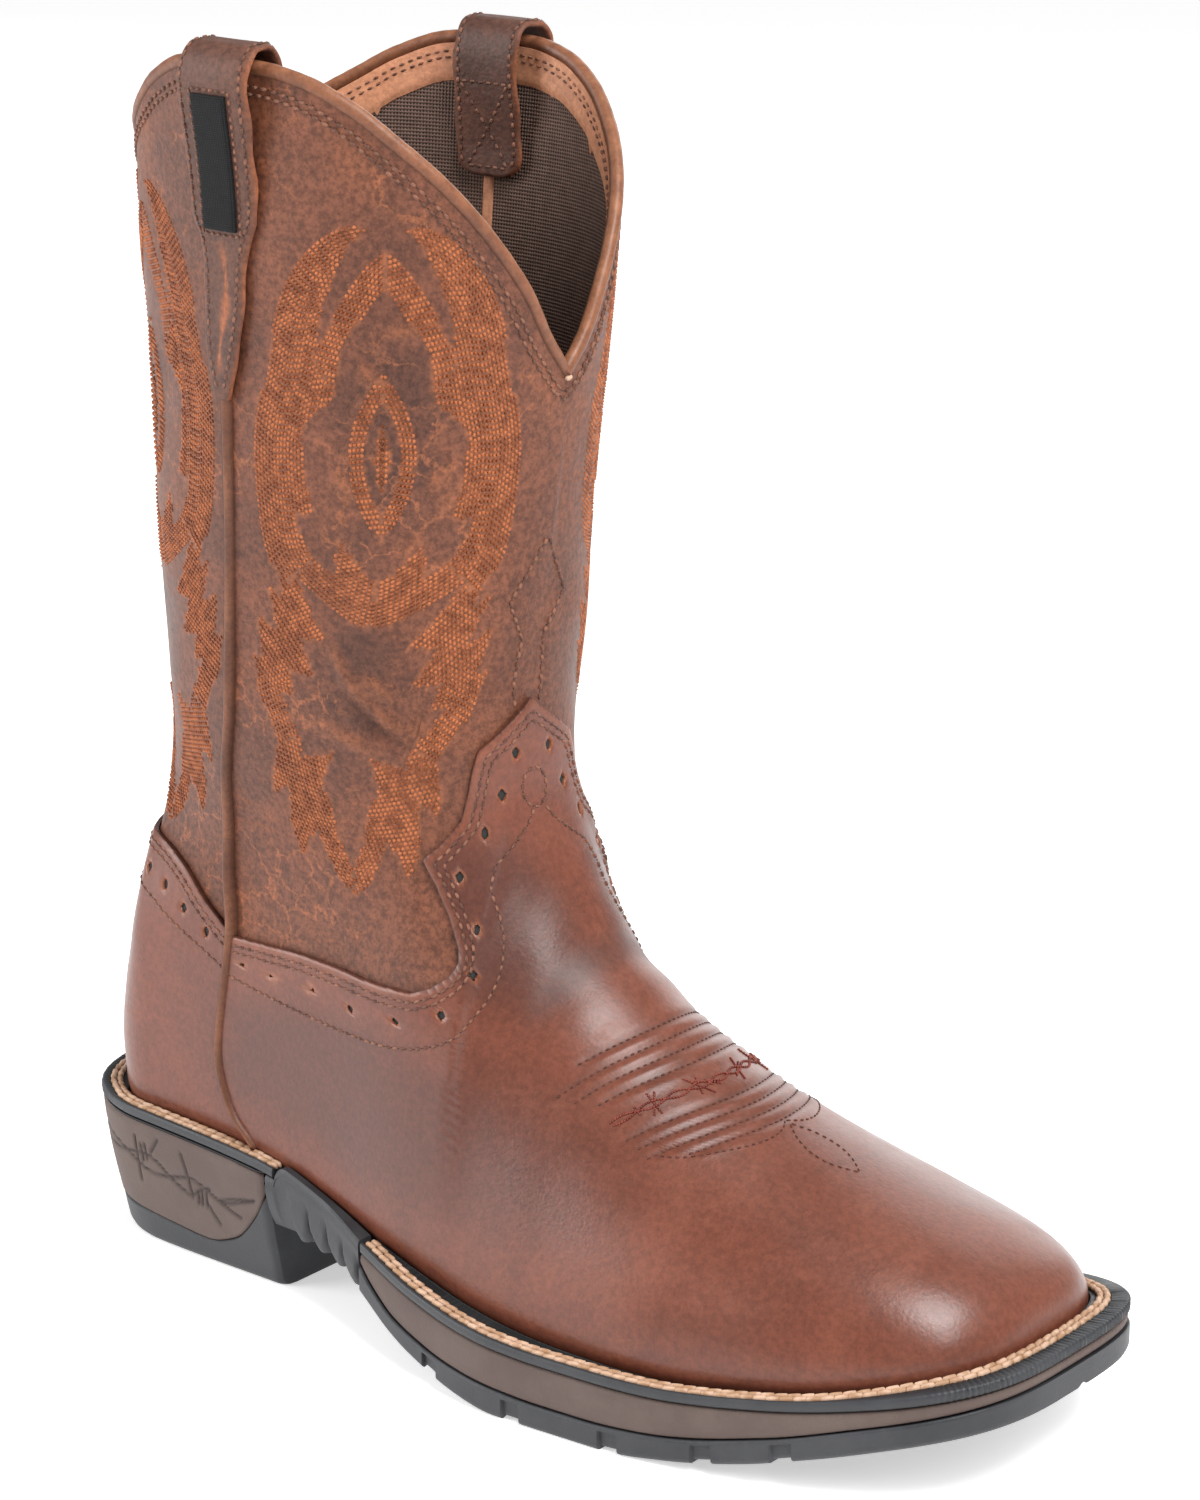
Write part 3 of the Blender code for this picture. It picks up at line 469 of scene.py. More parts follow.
# Lift of the foot's skin: stitched rows press furrows with low ribs between, and the instep has soft troughs.
def footLift(points):
    x, y = points[..., 0], points[..., 1] - shift(points[..., 0])
    bowed = x + toeRows["bow"] * y * y
    lift = np.zeros(x.shape)
    top = ease((points[..., 2] - seat(x) - toeRows["topStart"]) / toeRows["topRun"])
    for station, half in toeRows["rows"]:
        here = ease((half + toeRows["endOver"] - np.abs(y)) / toeRows["endRun"])
        lift = lift - toeRows["groove"] * here * bell((bowed - station) / toeRows["wide"])
        lift = lift + toeRows["rib"] * here * bell((bowed - station - toeRows["ribAway"]) / toeRows["ribWide"])
    for station, bow, half, wide, rise in creases["instep"]:
        here = ease((half - np.abs(y)) / creases["instepFade"])
        lift = lift + rise * here * bell((x + bow * y * y - station) / wide)
    return lift * top


# Numbers of the quads of a grid of points, wrapped round if asked.
def quads(rows, columns, wrap=False, first=0):
    i = np.arange(rows - 1)[:, None]
    j = np.arange(columns if wrap else columns - 1)[None]
    a = first + i * columns + j
    b = first + i * columns + (j + 1) % columns
    return np.stack([a, b, b + columns, a + columns], -1).reshape(-1, 4)


# Quads between two runs of point numbers.
def band(a, b, wrap=False):
    a, b = (np.append(a, a[0]), np.append(b, b[0])) if wrap else (np.asarray(a), np.asarray(b))
    return np.stack([a[:-1], a[1:], b[1:], b[:-1]], -1)


# A mesh object from heel-frame points and arrays of faces, turned outward by the sign of its volume.
def makePiece(name, points, faceSets, material, slot=None, stands=(), sharp=0.7, facts=None, turn=True):
    points = np.asarray(points, float).reshape(-1, 3)
    faceSets = [np.asarray(f) for f in faceSets if len(f)]
    if turn:
        total = 0.0
        for f in faceSets:
            fan = points[f] - points.mean(0)
            for k in range(1, f.shape[1] - 1):
                total += np.einsum("ij,ij->i", fan[:, 0], np.cross(fan[:, k], fan[:, k + 1])).sum()
        if total < 0:
            faceSets = [f[:, ::-1] for f in faceSets]
    corners = np.concatenate([f.reshape(-1) for f in faceSets])
    sizes = np.concatenate([np.full(len(f), f.shape[1]) for f in faceSets])
    mesh = bpy.data.meshes.new(name)
    mesh.vertices.add(len(points))
    mesh.vertices.foreach_set("co", ((points - standing) * mm).astype(np.float32).ravel())
    mesh.loops.add(len(corners))
    mesh.loops.foreach_set("vertex_index", corners.astype(np.int32))
    mesh.polygons.add(len(sizes))
    mesh.polygons.foreach_set("loop_start", (np.cumsum(sizes) - sizes).astype(np.int32))
    mesh.update(calc_edges=True)
    for key, values in (facts or {}).items():
        values = np.asarray(values, np.float32)
        kind, field = ("FLOAT_VECTOR", "vector") if values.ndim > 1 else ("FLOAT", "value")
        mesh.attributes.new(key, kind, "POINT").data.foreach_set(field, values.ravel())
    mesh.shade_smooth()
    if sharp:
        mesh.set_sharp_from_angle(angle=sharp)
    mesh.materials.append(material)
    piece = bpy.data.objects.new(name, mesh)
    bpy.context.scene.collection.objects.link(piece)
    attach(piece, "root")
    if stands:
        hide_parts(*stands)
    return piece


# Point values of a grid in one row, repeated for each layer.
def flatFacts(more, count, layers=1):
    if "facts" in more:
        facts = more["facts"].items()
        more["facts"] = {k: np.concatenate([v.reshape((count,) + v.shape[2:])] * layers) for k, v in facts}


# Closed shell between an outer and an inner grid.
def shellPiece(name, outer, inner, material, wrap=False, **more):
    rows, columns = outer.shape[:2]
    count = rows * columns
    number = np.arange(count).reshape(rows, columns)
    faceSets = [quads(rows, columns, wrap), quads(rows, columns, wrap, count)[:, ::-1]]
    faceSets += [band(number[0] + count, number[0], wrap), band(number[-1], number[-1] + count, wrap)]
    if not wrap:
        faceSets += [band(number[:, 0], number[:, 0] + count), band(number[:, -1] + count, number[:, -1])]
    points = np.concatenate([outer.reshape(-1, 3), inner.reshape(-1, 3)])
    flatFacts(more, count, 2)
    return makePiece(name, points, [np.concatenate(faceSets)], material, **more)


# Closed sweep: sections of equal size along a path, ends capped, or joined into a loop.
def sweepPiece(name, sections, material, loop=False, **more):
    rows, columns = sections.shape[:2]
    faceSets = [quads(rows, columns, True)]
    far = np.arange(columns) + (rows - 1) * columns
    if loop:
        faceSets[0] = np.concatenate([faceSets[0], band(far, np.arange(columns), True)])
    else:
        faceSets += [np.arange(columns)[::-1][None], far[None]]
    flatFacts(more, rows * columns)
    return makePiece(name, sections, faceSets, material, **more)


spindle = {"first": 0.8, "spare": 0.6, "slim": 0.80, "swell": 0.20}  # first ring, room at the ends, radius


# Spindle threads between two rows of points: pointed ends sunk in the skin, round rings between that ride on it.
def threadMesh(starts, ends, ups, radius, rise=0.5, sink=0.35, rings=2, sides=4):
    ahead = ends - starts
    across = unit(np.cross(ups, ahead))
    up = unit(np.cross(ahead, across))
    share = (np.arange(rings) + spindle["first"]) / (rings + spindle["spare"])
    turn = np.linspace(0, 2 * np.pi, sides + 1)[:-1] + np.pi / 2
    full = spindle["slim"] + spindle["swell"] * np.sin(np.pi * share)
    centre = starts[:, None] + ahead[:, None] * share[:, None] + up[:, None] * radius * rise
    flat, tall = np.cos(turn)[None, None, :, None], np.sin(turn)[None, None, :, None]
    ring = flat * across[:, None, None] + tall * up[:, None, None]
    rounds = centre[:, :, None] + ring * (radius * full)[None, :, None, None]
    tips = np.stack([starts - up * radius * sink, ends - up * radius * sink], 1)
    count, each = len(starts), rings * sides + 2
    points = np.concatenate([rounds.reshape(count, -1, 3), tips], 1)
    first = (np.arange(count) * each)[:, None, None]
    walls = quads(rings, sides, True)[None] + first
    k = np.arange(sides)
    near = np.stack([np.full(sides, rings * sides), (k + 1) % sides, k], -1)[None] + first
    final = (rings - 1) * sides
    far = np.stack([np.full(sides, rings * sides + 1), k + final, (k + 1) % sides + final], -1)
    return points.reshape(-1, 3), walls.reshape(-1, 4), np.concatenate([near, far[None] + first]).reshape(-1, 3)


# One piece of many threads, given as (starts, ends, ups) groups.
def threadPiece(name, groups, radius, material, slot, sharp=None, **shape):
    starts, ends, ups = (np.concatenate([g[k] for g in groups]) for k in range(3))
    points, walls, caps = threadMesh(starts, ends, ups, radius, **shape)
    return makePiece(name, points, [walls, caps], material, slot=slot, sharp=sharp)


# Spans of a path between two rows of lengths, with the upward direction at each span.
def spans(path, ups, first, second):
    run, read = runOf(path), np.concatenate([path, ups], 1)
    a, b = (np.stack([np.interp(where, run, read[:, k]) for k in range(6)], -1) for where in (first, second))
    return a[:, :3], b[:, :3], unit(a[:, 3:] + b[:, 3:])


# Lengths at which stitches start along a path, about a pitch apart, and the even step between them.
def stitchMarks(path, pitch):
    length = runOf(path)[-1]
    count = max(int(length / pitch), 1)
    return np.arange(count) * length / count, length / count


# Running stitches along a path: pitch apart, each shorter by the gap, slanted across by the lean.
def stitches(path, ups, pitch, gap, lean=0.0):
    marks, lay = stitchMarks(path, pitch)
    a, b, up = spans(path, ups, marks + gap / 2, marks + lay - gap / 2)
    aside = unit(np.cross(up, b - a)) * lean
    return a - aside, b + aside, up


threadSets = {"seam": [], "collar": [], "facing": [], "holeShade": []}


# Lays stitches into a set, with a dark piece of painted shade over each gap for its needle hole.
def sew(kind, path, ups, pitch, gap, lean=0.0, reach=0.62):
    threadSets[kind].append(stitches(path, ups, pitch, gap, lean))
    marks = stitchMarks(path, pitch)[0][1:]
    threadSets["holeShade"].append(spans(path, ups, marks - gap * reach, marks + gap * reach))


gridTurn = np.repeat(turns[None], len(levels), 0)
near = {"points": body.reshape(-1, 3).astype(np.float32), "out": bodyOut.reshape(-1, 3), "turn": gridTurn.ravel()}


# Points dropped onto the body along the nearest grid point's outward direction; also gives that direction and turn.
def settle(points, chunk=48):
    points = np.asarray(points, float)
    found = []
    for part in np.array_split(points.astype(np.float32), max(1, len(points) // chunk)):
        gap = sum(np.square(part[:, None, k] - near["points"][None, :, k]) for k in range(3))
        found.append(gap.argmin(1))
    found = np.concatenate(found)
    out = near["out"][found]
    over = ((points - near["points"][found]) * out).sum(1, keepdims=True)
    return points - out * over, out, near["turn"][found]


# A path moved sideways within the surface, against its upward side, and dropped onto the body again.
def offsetPath(path, out, away, clear=0.93):
    ahead = unit(np.gradient(path, axis=0))
    aside = unit(np.cross(out, ahead))
    moved = path + aside * away
    apart = np.linalg.norm(moved[:, None] - path[None], axis=2).min(1)
    moved = moved[apart > abs(away) * clear]
    return settle(moved)


# Sign of the sideways move that leads down from a path, read at one of its points.
def downSign(path, out, k):
    return -1.0 if np.cross(out[k], path[k + 1] - path[k])[2] > 0 else 1.0


# A polyline of turns and heights read evenly, as points on the body with outward directions.
def surfacePath(rows, step=0.5, each=60):
    rows = np.asarray(rows, float)
    fine = np.linspace(0, len(rows) - 1, each * (len(rows) - 1) + 1)
    t = np.interp(fine, np.arange(len(rows)), rows[:, 0])
    z = np.interp(fine, np.arange(len(rows)), rows[:, 1])
    points, out = onBody(t, levelAt(t, z))
    run = runOf(points)
    where = np.linspace(0, run[-1], max(int(run[-1] / step), 2))
    read = lambda v: np.interp(where, run, v)
    t, z = read(t), read(z)
    points, out = onBody(t, levelAt(t, z))
    return points, out, t, z


# A rounder polyline: corners cut by quarters, twice.
def rounded(rows, times=2):
    rows = np.asarray(rows, float)
    for _ in range(times):
        cut = np.stack([0.75 * rows[:-1] + 0.25 * rows[1:], 0.25 * rows[:-1] + 0.75 * rows[1:]], 1)
        rows = np.concatenate([rows[:1], cut.reshape(-1, rows.shape[1]), rows[-1:]])
    return rows


# Adds a node, sets its fields, and fills or links its sockets.
def add(tree, kind, sockets=None, **fields):
    made = tree.nodes.new(kind)
    for key, value in fields.items():
        setattr(made, key, value)
    for key, value in (sockets or {}).items():
        if isinstance(value, bpy.types.NodeSocket):
            tree.links.new(value, made.inputs[key])
        else:
            made.inputs[key].default_value = value
    return made


def sums(tree, operation, a, b):
    return add(tree, "ShaderNodeMath", {0: a, 1: b}, operation=operation).outputs[0]


def mixColour(tree, factor, a, b, blend="MIX"):
    return add(tree, "ShaderNodeMix", {0: factor, 6: a, 7: b}, data_type="RGBA", blend_type=blend).outputs[2]


def spread(tree, value, low, high, toLow=0.0, toHigh=1.0):
    made = add(tree, "ShaderNodeMapRange", {0: value, 1: low, 2: high, 3: toLow, 4: toHigh},
        interpolation_type="SMOOTHSTEP")
    return made.outputs[0]


def noise(tree, where, size, detail=2.0, rough=0.5, bend=0.0):
    values = {"Vector": where, "Scale": size, "Detail": detail, "Roughness": rough, "Distortion": bend}
    return add(tree, "ShaderNodeTexNoise", values).outputs


def cells(tree, where, size, feature="F1"):
    return add(tree, "ShaderNodeTexVoronoi", {"Vector": where, "Scale": size}, feature=feature).outputs["Distance"]


def ownPlace(tree):
    return add(tree, "ShaderNodeTexCoord").outputs["Object"]


# A colour made darker or lighter by a factor, no part over one.
def toned(colour, factor):
    return tuple(min(1.0, factor * c) for c in colour[:3]) + (1.0,)


# Links values to a group's outputs by name.
def give(tree, out, **values):
    for key, value in values.items():
        tree.links.new(value, out.inputs[key])


# A shader group with named float inputs and outputs.
def newGroup(name, inputs, outputs):
    tree = bpy.data.node_groups.new(name, "ShaderNodeTree")
    for key, value in inputs.items():
        tree.interface.new_socket(key, in_out="INPUT", socket_type="NodeSocketFloat").default_value = value
    for key in outputs:
        tree.interface.new_socket(key, in_out="OUTPUT", socket_type="NodeSocketFloat")
    return tree, tree.nodes.new("NodeGroupInput"), tree.nodes.new("NodeGroupOutput")


# Hide: pebbled grain as a height, slow mottling, torn smudges, streaks, fine specks and patches of thin cracks.
def hideGroup():
    tree, given, out = newGroup("hideGrain", {"Grain Scale": 1.0},
        ["Height", "Mottle", "Smudge", "Streak", "Speck", "Scuff", "Crack"])
    place = ownPlace(tree)
    scale = lambda k: sums(tree, "MULTIPLY", given.outputs["Grain Scale"], k)
    cloud = lambda where, *sizes: noise(tree, where, *sizes)["Fac"]
    height = sums(tree, "MULTIPLY", cells(tree, place, scale(1150.0), "SMOOTH_F1"), -0.45)
    for size, detail, rough, amount in ((420.0, 5.0, 0.65, 0.55), (95.0, 4.0, 0.6, 0.5)):
        height = sums(tree, "ADD", height, sums(tree, "MULTIPLY", cloud(place, scale(size), detail, rough), amount))
    bent = add(tree, "ShaderNodeMapping", {"Vector": place, "Rotation": (0.4, 0.9, 0.2),
        "Scale": (1.0, 1.0, 3.2)}).outputs[0]
    drift = {0: noise(tree, place, 60.0, 5.0, 0.7)["Color"], 1: (0.016, 0.016, 0.016), 2: place}
    drifted = add(tree, "ShaderNodeVectorMath", drift, operation="MULTIPLY_ADD").outputs[0]
    line = spread(tree, cells(tree, drifted, 85.0, "DISTANCE_TO_EDGE"), 0.05, 0.0)
    give(
        tree, out, Height=height, Mottle=cloud(place, 30.0, 8.0, 0.70, 0.5),
        Smudge=spread(tree, cloud(place, 19.0, 9.0, 0.66, 1.1), 0.50, 0.60),
        Streak=spread(tree, cloud(bent, 46.0, 9.0, 0.72, 1.6), 0.56, 0.70),
        Speck=cloud(place, scale(620.0), 4.0, 0.75), Scuff=cloud(place, 70.0, 8.0, 0.78, 0.9),
        Crack=sums(tree, "MULTIPLY", line, spread(tree, cloud(place, 24.0, 5.0, 0.6, 0.6), 0.53, 0.62)),
    )
    return tree


# Rubber: fine dots as a height, slow dusty cloud.
def rubberGroup():
    tree, given, out = newGroup("rubberGrain", {"Dot Scale": 1.0}, ["Height", "Cloud"])
    place = ownPlace(tree)
    dots = cells(tree, place, sums(tree, "MULTIPLY", given.outputs["Dot Scale"], 1500.0))
    fine = noise(tree, place, 700.0, 4.0)["Fac"]
    height = sums(tree, "ADD", sums(tree, "MULTIPLY", dots, 0.7), sums(tree, "MULTIPLY", fine, 0.5))
    give(tree, out, Height=height, Cloud=noise(tree, place, 55.0, 6.0, 0.65)["Fac"])
    return tree


# Weave: two crossed waves on the piece's own flat lengths, or on its plan in mm, with open corners between the yarns.
def weaveGroup(name, flattened):
    tree, given, out = newGroup(name, {"Yarn": 1.0}, ["Height", "Hole"])
    if flattened:
        lengths = add(tree, "ShaderNodeAttribute", attribute_name="flat").outputs["Vector"]
    else:
        lengths = add(tree, "ShaderNodeMapping", {"Vector": ownPlace(tree),
            "Scale": (1000.0, 1000.0, 1000.0)}).outputs[0]
    flat = add(tree, "ShaderNodeSeparateXYZ", {0: lengths})
    along = sums(tree, "MULTIPLY", flat.outputs[0], given.outputs["Yarn"])
    up = sums(tree, "MULTIPLY", flat.outputs[1], given.outputs["Yarn"])
    a = sums(tree, "SINE", sums(tree, "ADD", along, up), 0.0)
    b = sums(tree, "SINE", sums(tree, "SUBTRACT", along, up), 0.0)
    both = sums(tree, "MULTIPLY", a, b)
    give(tree, out, Height=both, Hole=spread(tree, both, -0.05, -0.6))
    return tree


# Yarn: fine twisted fibres as a height, with lighter and darker threads.
def yarnGroup():
    tree, given, out = newGroup("yarnFibre", {"Fibre Scale": 1.0}, ["Height", "Tint"])
    place = ownPlace(tree)
    fibre = noise(tree, place, sums(tree, "MULTIPLY", given.outputs["Fibre Scale"], 2600.0), 3.0)["Fac"]
    give(tree, out, Height=fibre, Tint=noise(tree, place, 330.0)["Fac"])
    return tree


groups = {"hide": hideGroup(), "rubber": rubberGroup(), "weave": weaveGroup("liningWeave", True),
    "plainWeave": weaveGroup("insoleWeave", False), "yarn": yarnGroup()}


def useGroup(tree, key, **values):
    made = add(tree, "ShaderNodeGroup", node_tree=groups[key])
    for name, value in values.items():
        made.inputs[name.replace("_", " ")].default_value = value
    return made.outputs


def newMaterial(name):
    made = bpy.data.materials.new(name)
    made.use_nodes = True
    tree = made.node_tree
    return made, tree, tree.nodes["Principled BSDF"]


# Fills in a surface: linked colour, roughness and bumped grain, and an even shine.
def dress(tree, surface, colour, gloss, height, strength, deep, shine):
    tree.links.new(colour, surface.inputs["Base Color"])
    tree.links.new(gloss, surface.inputs["Roughness"])
    bump = add(tree, "ShaderNodeBump", {"Height": height, "Strength": strength, "Distance": deep})
    tree.links.new(bump.outputs[0], surface.inputs["Normal"])
    surface.inputs["Specular IOR Level"].default_value = shine


# A mask that a piece carries on its points, such as wear, stains, painted shade and painted highlights.
def mask(tree, name):
    return add(tree, "ShaderNodeAttribute", attribute_name=name).outputs["Fac"]


# Leather: base mottled to a lighter tone, smudged dark, streaked and edge-rubbed to the raw colour, painted highlights
# in that raw colour where a piece carries them, and painted shade in creases and grooves.
def leather(name, base, light, dark, raw, rough, grain=0.25, scale=1.0, smudge=0.75, streak=0.35, coat=0.0,
        speck=0.42, shine=0.3, torn=(0.3, 0.1, 0.9), crack=0.1):
    made, tree, surface = newMaterial(name)
    hide = useGroup(tree, "hide", Grain_Scale=scale)
    colour = mixColour(tree, spread(tree, hide["Mottle"], 0.36, 0.66), base, light)
    colour = mixColour(tree, sums(tree, "MULTIPLY", hide["Smudge"], smudge), colour, dark)
    colour = mixColour(tree, sums(tree, "MULTIPLY", hide["Streak"], streak), colour, raw)
    stain, scuff = mask(tree, "stain"), sums(tree, "ADD", hide["Scuff"], -0.5)
    bitten = sums(tree, "ADD", stain, sums(tree, "MULTIPLY", scuff, torn[0]))
    colour = mixColour(tree, spread(tree, bitten, torn[1], torn[2], 0.0, 0.85), colour, dark)
    colour = mixColour(tree, sums(tree, "MULTIPLY", hide["Crack"], crack), colour, raw)
    colour = mixColour(tree, mask(tree, "wearAndSheen"), colour, raw)
    colour = mixColour(tree, mask(tree, "paintedShade"), colour, toned(dark, 0.30))
    tone = spread(tree, hide["Speck"], 0.30, 0.70, 1 - speck, 1 + speck)
    grey = add(tree, "ShaderNodeCombineColor", {0: tone, 1: tone, 2: tone}).outputs[0]
    colour = mixColour(tree, 1.0, colour, grey, "MULTIPLY")
    gloss = sums(tree, "ADD", spread(tree, hide["Mottle"], 0.3, 0.75, rough - 0.07, rough + 0.09),
        sums(tree, "MULTIPLY", hide["Streak"], 0.12))
    gloss = sums(tree, "ADD", gloss, sums(tree, "MULTIPLY", mask(tree, "paintedShade"), 0.5))
    dress(tree, surface, colour, gloss, hide["Height"], grain, 0.0006, shine)
    surface.inputs["Coat Weight"].default_value = coat
    surface.inputs["Coat Roughness"].default_value = 0.28
    return made


# Rubber: matt colour with a dusty cloud, fine dots, lighter worn places, and painted shade in carved lines and
# channels.
def rubber(name, base, dusty, rough, strength=0.25, dots=1.0, shine=0.5):
    made, tree, surface = newMaterial(name)
    grain = useGroup(tree, "rubber", Dot_Scale=dots)
    colour = mixColour(tree, spread(tree, grain["Cloud"], 0.35, 0.72), base, dusty)
    colour = mixColour(tree, mask(tree, "wearAndSheen"), colour, toned(dusty, 1.5))
    colour = mixColour(tree, mask(tree, "paintedShade"), colour, toned(base, 0.25))
    gloss = spread(tree, grain["Cloud"], 0.3, 0.75, rough - 0.06, rough + 0.08)
    dress(tree, surface, colour, gloss, grain["Height"], strength, 0.0004, shine)
    return made


# Thread: two tones of yarn with fibres.
def thread(name, base, light, rough=0.55, shine=0.3):
    made, tree, surface = newMaterial(name)
    yarn = useGroup(tree, "yarn")
    colour = mixColour(tree, spread(tree, yarn["Tint"], 0.35, 0.65), base, light)
    gloss = spread(tree, yarn["Tint"], 0.2, 0.8, rough - 0.08, rough + 0.08)
    dress(tree, surface, colour, gloss, yarn["Height"], 0.35, 0.0002, shine)
    return made


# Woven cloth: yarn colour with dark open corners.
def cloth(name, base, dark, yarn, rough=0.8, strength=0.6, shine=0.35, weave="weave"):
    made, tree, surface = newMaterial(name)
    weave = useGroup(tree, weave, Yarn=yarn)
    fibre = useGroup(tree, "yarn")
    tone = mixColour(tree, spread(tree, fibre["Tint"], 0.3, 0.7), base, toned(base, 0.8))
    colour = mixColour(tree, weave["Hole"], tone, dark)
    gloss = spread(tree, weave["Height"], -1.0, 1.0, rough + 0.1, rough - 0.05)
    dress(tree, surface, colour, gloss, weave["Height"], strength, 0.0004, shine)
    return made


finishes = {
    "shaft": leather("shaftHide", (0.106, 0.0375, 0.0215, 1), (0.146, 0.0510, 0.0275, 1),
        (0.060, 0.0235, 0.0155, 1), (0.24, 0.080, 0.034, 1), 0.50, smudge=0.30, streak=0.30, speck=0.40,
        shine=0.25, torn=(2.2, 0.22, 0.95), crack=0.75),
    "foot": leather("footHide", (0.122, 0.0365, 0.0215, 1), (0.152, 0.0455, 0.0255, 1), (0.068, 0.0235, 0.0165, 1),
        (0.24, 0.078, 0.034, 1), 0.35, grain=0.14, smudge=0.24, streak=0.14, coat=0.12, speck=0.18, shine=0.34,
        torn=(0.5, 0.1, 0.95)),
    "binding": leather("bindingHide", (0.150, 0.054, 0.026, 1), (0.195, 0.074, 0.036, 1), (0.095, 0.037, 0.022, 1),
        (0.28, 0.120, 0.060, 1), 0.42, grain=0.15, smudge=0.35, speck=0.2),
    "piping": leather("pipingHide", (0.095, 0.0345, 0.0185, 1), (0.120, 0.0435, 0.0225, 1),
        (0.075, 0.030, 0.018, 1), (0.24, 0.092, 0.044, 1), 0.42, grain=0.15, smudge=0.35, speck=0.2, shine=0.25),
    "strap": leather("strapHide", (0.073, 0.032, 0.0225, 1), (0.103, 0.044, 0.029, 1), (0.052, 0.0255, 0.0195, 1),
        (0.27, 0.085, 0.034, 1), 0.55, grain=0.4, smudge=0.3, streak=0.22, speck=0.3, shine=0.26),
    "facing": leather("facingHide", (0.50, 0.215, 0.118, 1), (0.58, 0.273, 0.153, 1), (0.37, 0.161, 0.093, 1),
        (0.58, 0.29, 0.15, 1), 0.55, grain=0.25, smudge=0.3, speck=0.2),
    "lining": cloth("liningMesh", (0.165, 0.098, 0.074, 1), (0.018, 0.011, 0.009, 1), 3.4),
    "insole": cloth("insoleCloth", (0.075, 0.048, 0.036, 1), (0.030, 0.020, 0.016, 1), 2.2, weave="plainWeave"),
    "patch": cloth("patchCloth", (0.011, 0.011, 0.012, 1), (0.005, 0.005, 0.006, 1), 6.0, strength=0.35, shine=0.2),
    "midsole": rubber("midsoleRubber", (0.090, 0.0632, 0.0555, 1), (0.114, 0.0835, 0.073, 1), 0.62, shine=0.2),
    "outsole": rubber("outsoleRubber", (0.020, 0.021, 0.024, 1), (0.036, 0.037, 0.041, 1), 0.50, strength=0.15,
        shine=0.38),
    "flame": thread("flameThread", (0.172, 0.044, 0.0135, 1), (0.385, 0.120, 0.043, 1), 0.50),
    "seamThread": thread("seamThread", (0.080, 0.032, 0.020, 1), (0.21, 0.092, 0.056, 1)),
    "darkThread": thread("darkThread", (0.050, 0.016, 0.010, 1), (0.090, 0.030, 0.018, 1)),
    "wireThread": thread("wireThread", (0.130, 0.024, 0.016, 1), (0.210, 0.045, 0.027, 1), 0.45),
    "needle": rubber("needleShade", (0.020, 0.010, 0.008, 1), (0.030, 0.015, 0.011, 1), 0.8),
    "weltThread": thread("weltThread", (0.35, 0.20, 0.113, 1), (0.54, 0.36, 0.253, 1), 0.6),
    "holeShade": rubber("perforationShade", (0.010, 0.011, 0.010, 1), (0.020, 0.022, 0.020, 1), 0.8),
}
print("materials ready:", len(finishes))

# Shaft: the leather skin from the sole to the collar, and the woven lining inside it.
shaft = {"columns": 300, "footRows": 10, "legRows": 146, "leather": 1.25, "liningGap": 0.05, "liningStep": 2,
    "underlap": 16.0, "flatRow": 120,
    "rimWear": 0.28, "rimDown": 9.0, "rimWide": 7.0, "rimTurns": 23.0, "crestWearAndSheen": 0.5, "troughShade": 0.35}
shaftTurn = np.linspace(0.0, 4.0, shaft["columns"] + 1)[:-1]
lowLevel = levelAt(shaftTurn, panelEdge(shaftTurn) - shaft["underlap"])
topLevel = levelAt(shaftTurn, collarHeight(shaftTurn))
rise = steps((0, 1, shaft["footRows"]), (1, 2, shaft["legRows"] + 1))[:, None]
shaftLevel = np.where(rise <= 1, rise * lowLevel, lowLevel + (rise - 1) * (topLevel - lowLevel))
shaftPoints, shaftOut = onBody(shaftTurn[None], shaftLevel)
shaftZ = shaftPoints[..., 2]
smooth = (shaftSway(shaftTurn[None], shaftZ) - skinDepth(shaftTurn[None], shaftZ))[..., None]
# Fold troughs get painted shade; fold crests go lighter, partly pull-up wear of the leather and partly painted
# highlight.
folded, crest, trough = foldMarks(shaftTurn[None], shaftZ)
under = collarHeight(shaftTurn)[None] - shaftZ
rimWear = shaft["rimWear"] * bell((under - shaft["rimDown"]) / shaft["rimWide"])
rimWear = rimWear * (0.5 + 0.5 * np.sin(shaftTurn * shaft["rimTurns"]))[None]
shaftWearAndSheen = np.maximum(rimWear, shaft["crestWearAndSheen"] * crest * (shareOf(shaftTurn) < 1)[None])
shaftSkin = shellPiece(
    "shaftLeather", shaftPoints + shaftOut * (smooth + folded[..., None]),
    shaftPoints + shaftOut * (smooth - shaft["leather"]), finishes["shaft"],
    wrap=True, slot="shaft_leather", stands=("upper",),
    facts={"wearAndSheen": shaftWearAndSheen, "paintedShade": shaft["troughShade"] * trough,
        "stain": stainOf("shaft", shaftTurn[None], shaftZ)},
)
pick = np.unique(np.append(np.arange(0, len(shaftZ), shaft["liningStep"]), len(shaftZ) - 1))
few = lambda grid: grid[pick][:, :: shaft["liningStep"]]
arc = runOf(np.concatenate([shaftPoints, shaftPoints[:, :1]], 1))[:, :-1]
flat = np.stack([np.repeat(arc[shaft["flatRow"]][None], len(arc), 0), shaftZ, 0 * arc], -1)
shellPiece(
    "shaftLining", few(shaftPoints + shaftOut * (smooth - shaft["leather"] - shaft["liningGap"])),
    few(shaftPoints + shaftOut * (smooth - last["wall"])),
    finishes["lining"], wrap=True, slot="insole_board", facts={"flat": few(flat)},
)
print("shaft and lining made")


# The edges of triangles, in order of their sides.
def edgesOf(triangles):
    return np.concatenate([triangles[:, [0, 1]], triangles[:, [1, 2]], triangles[:, [2, 0]]])


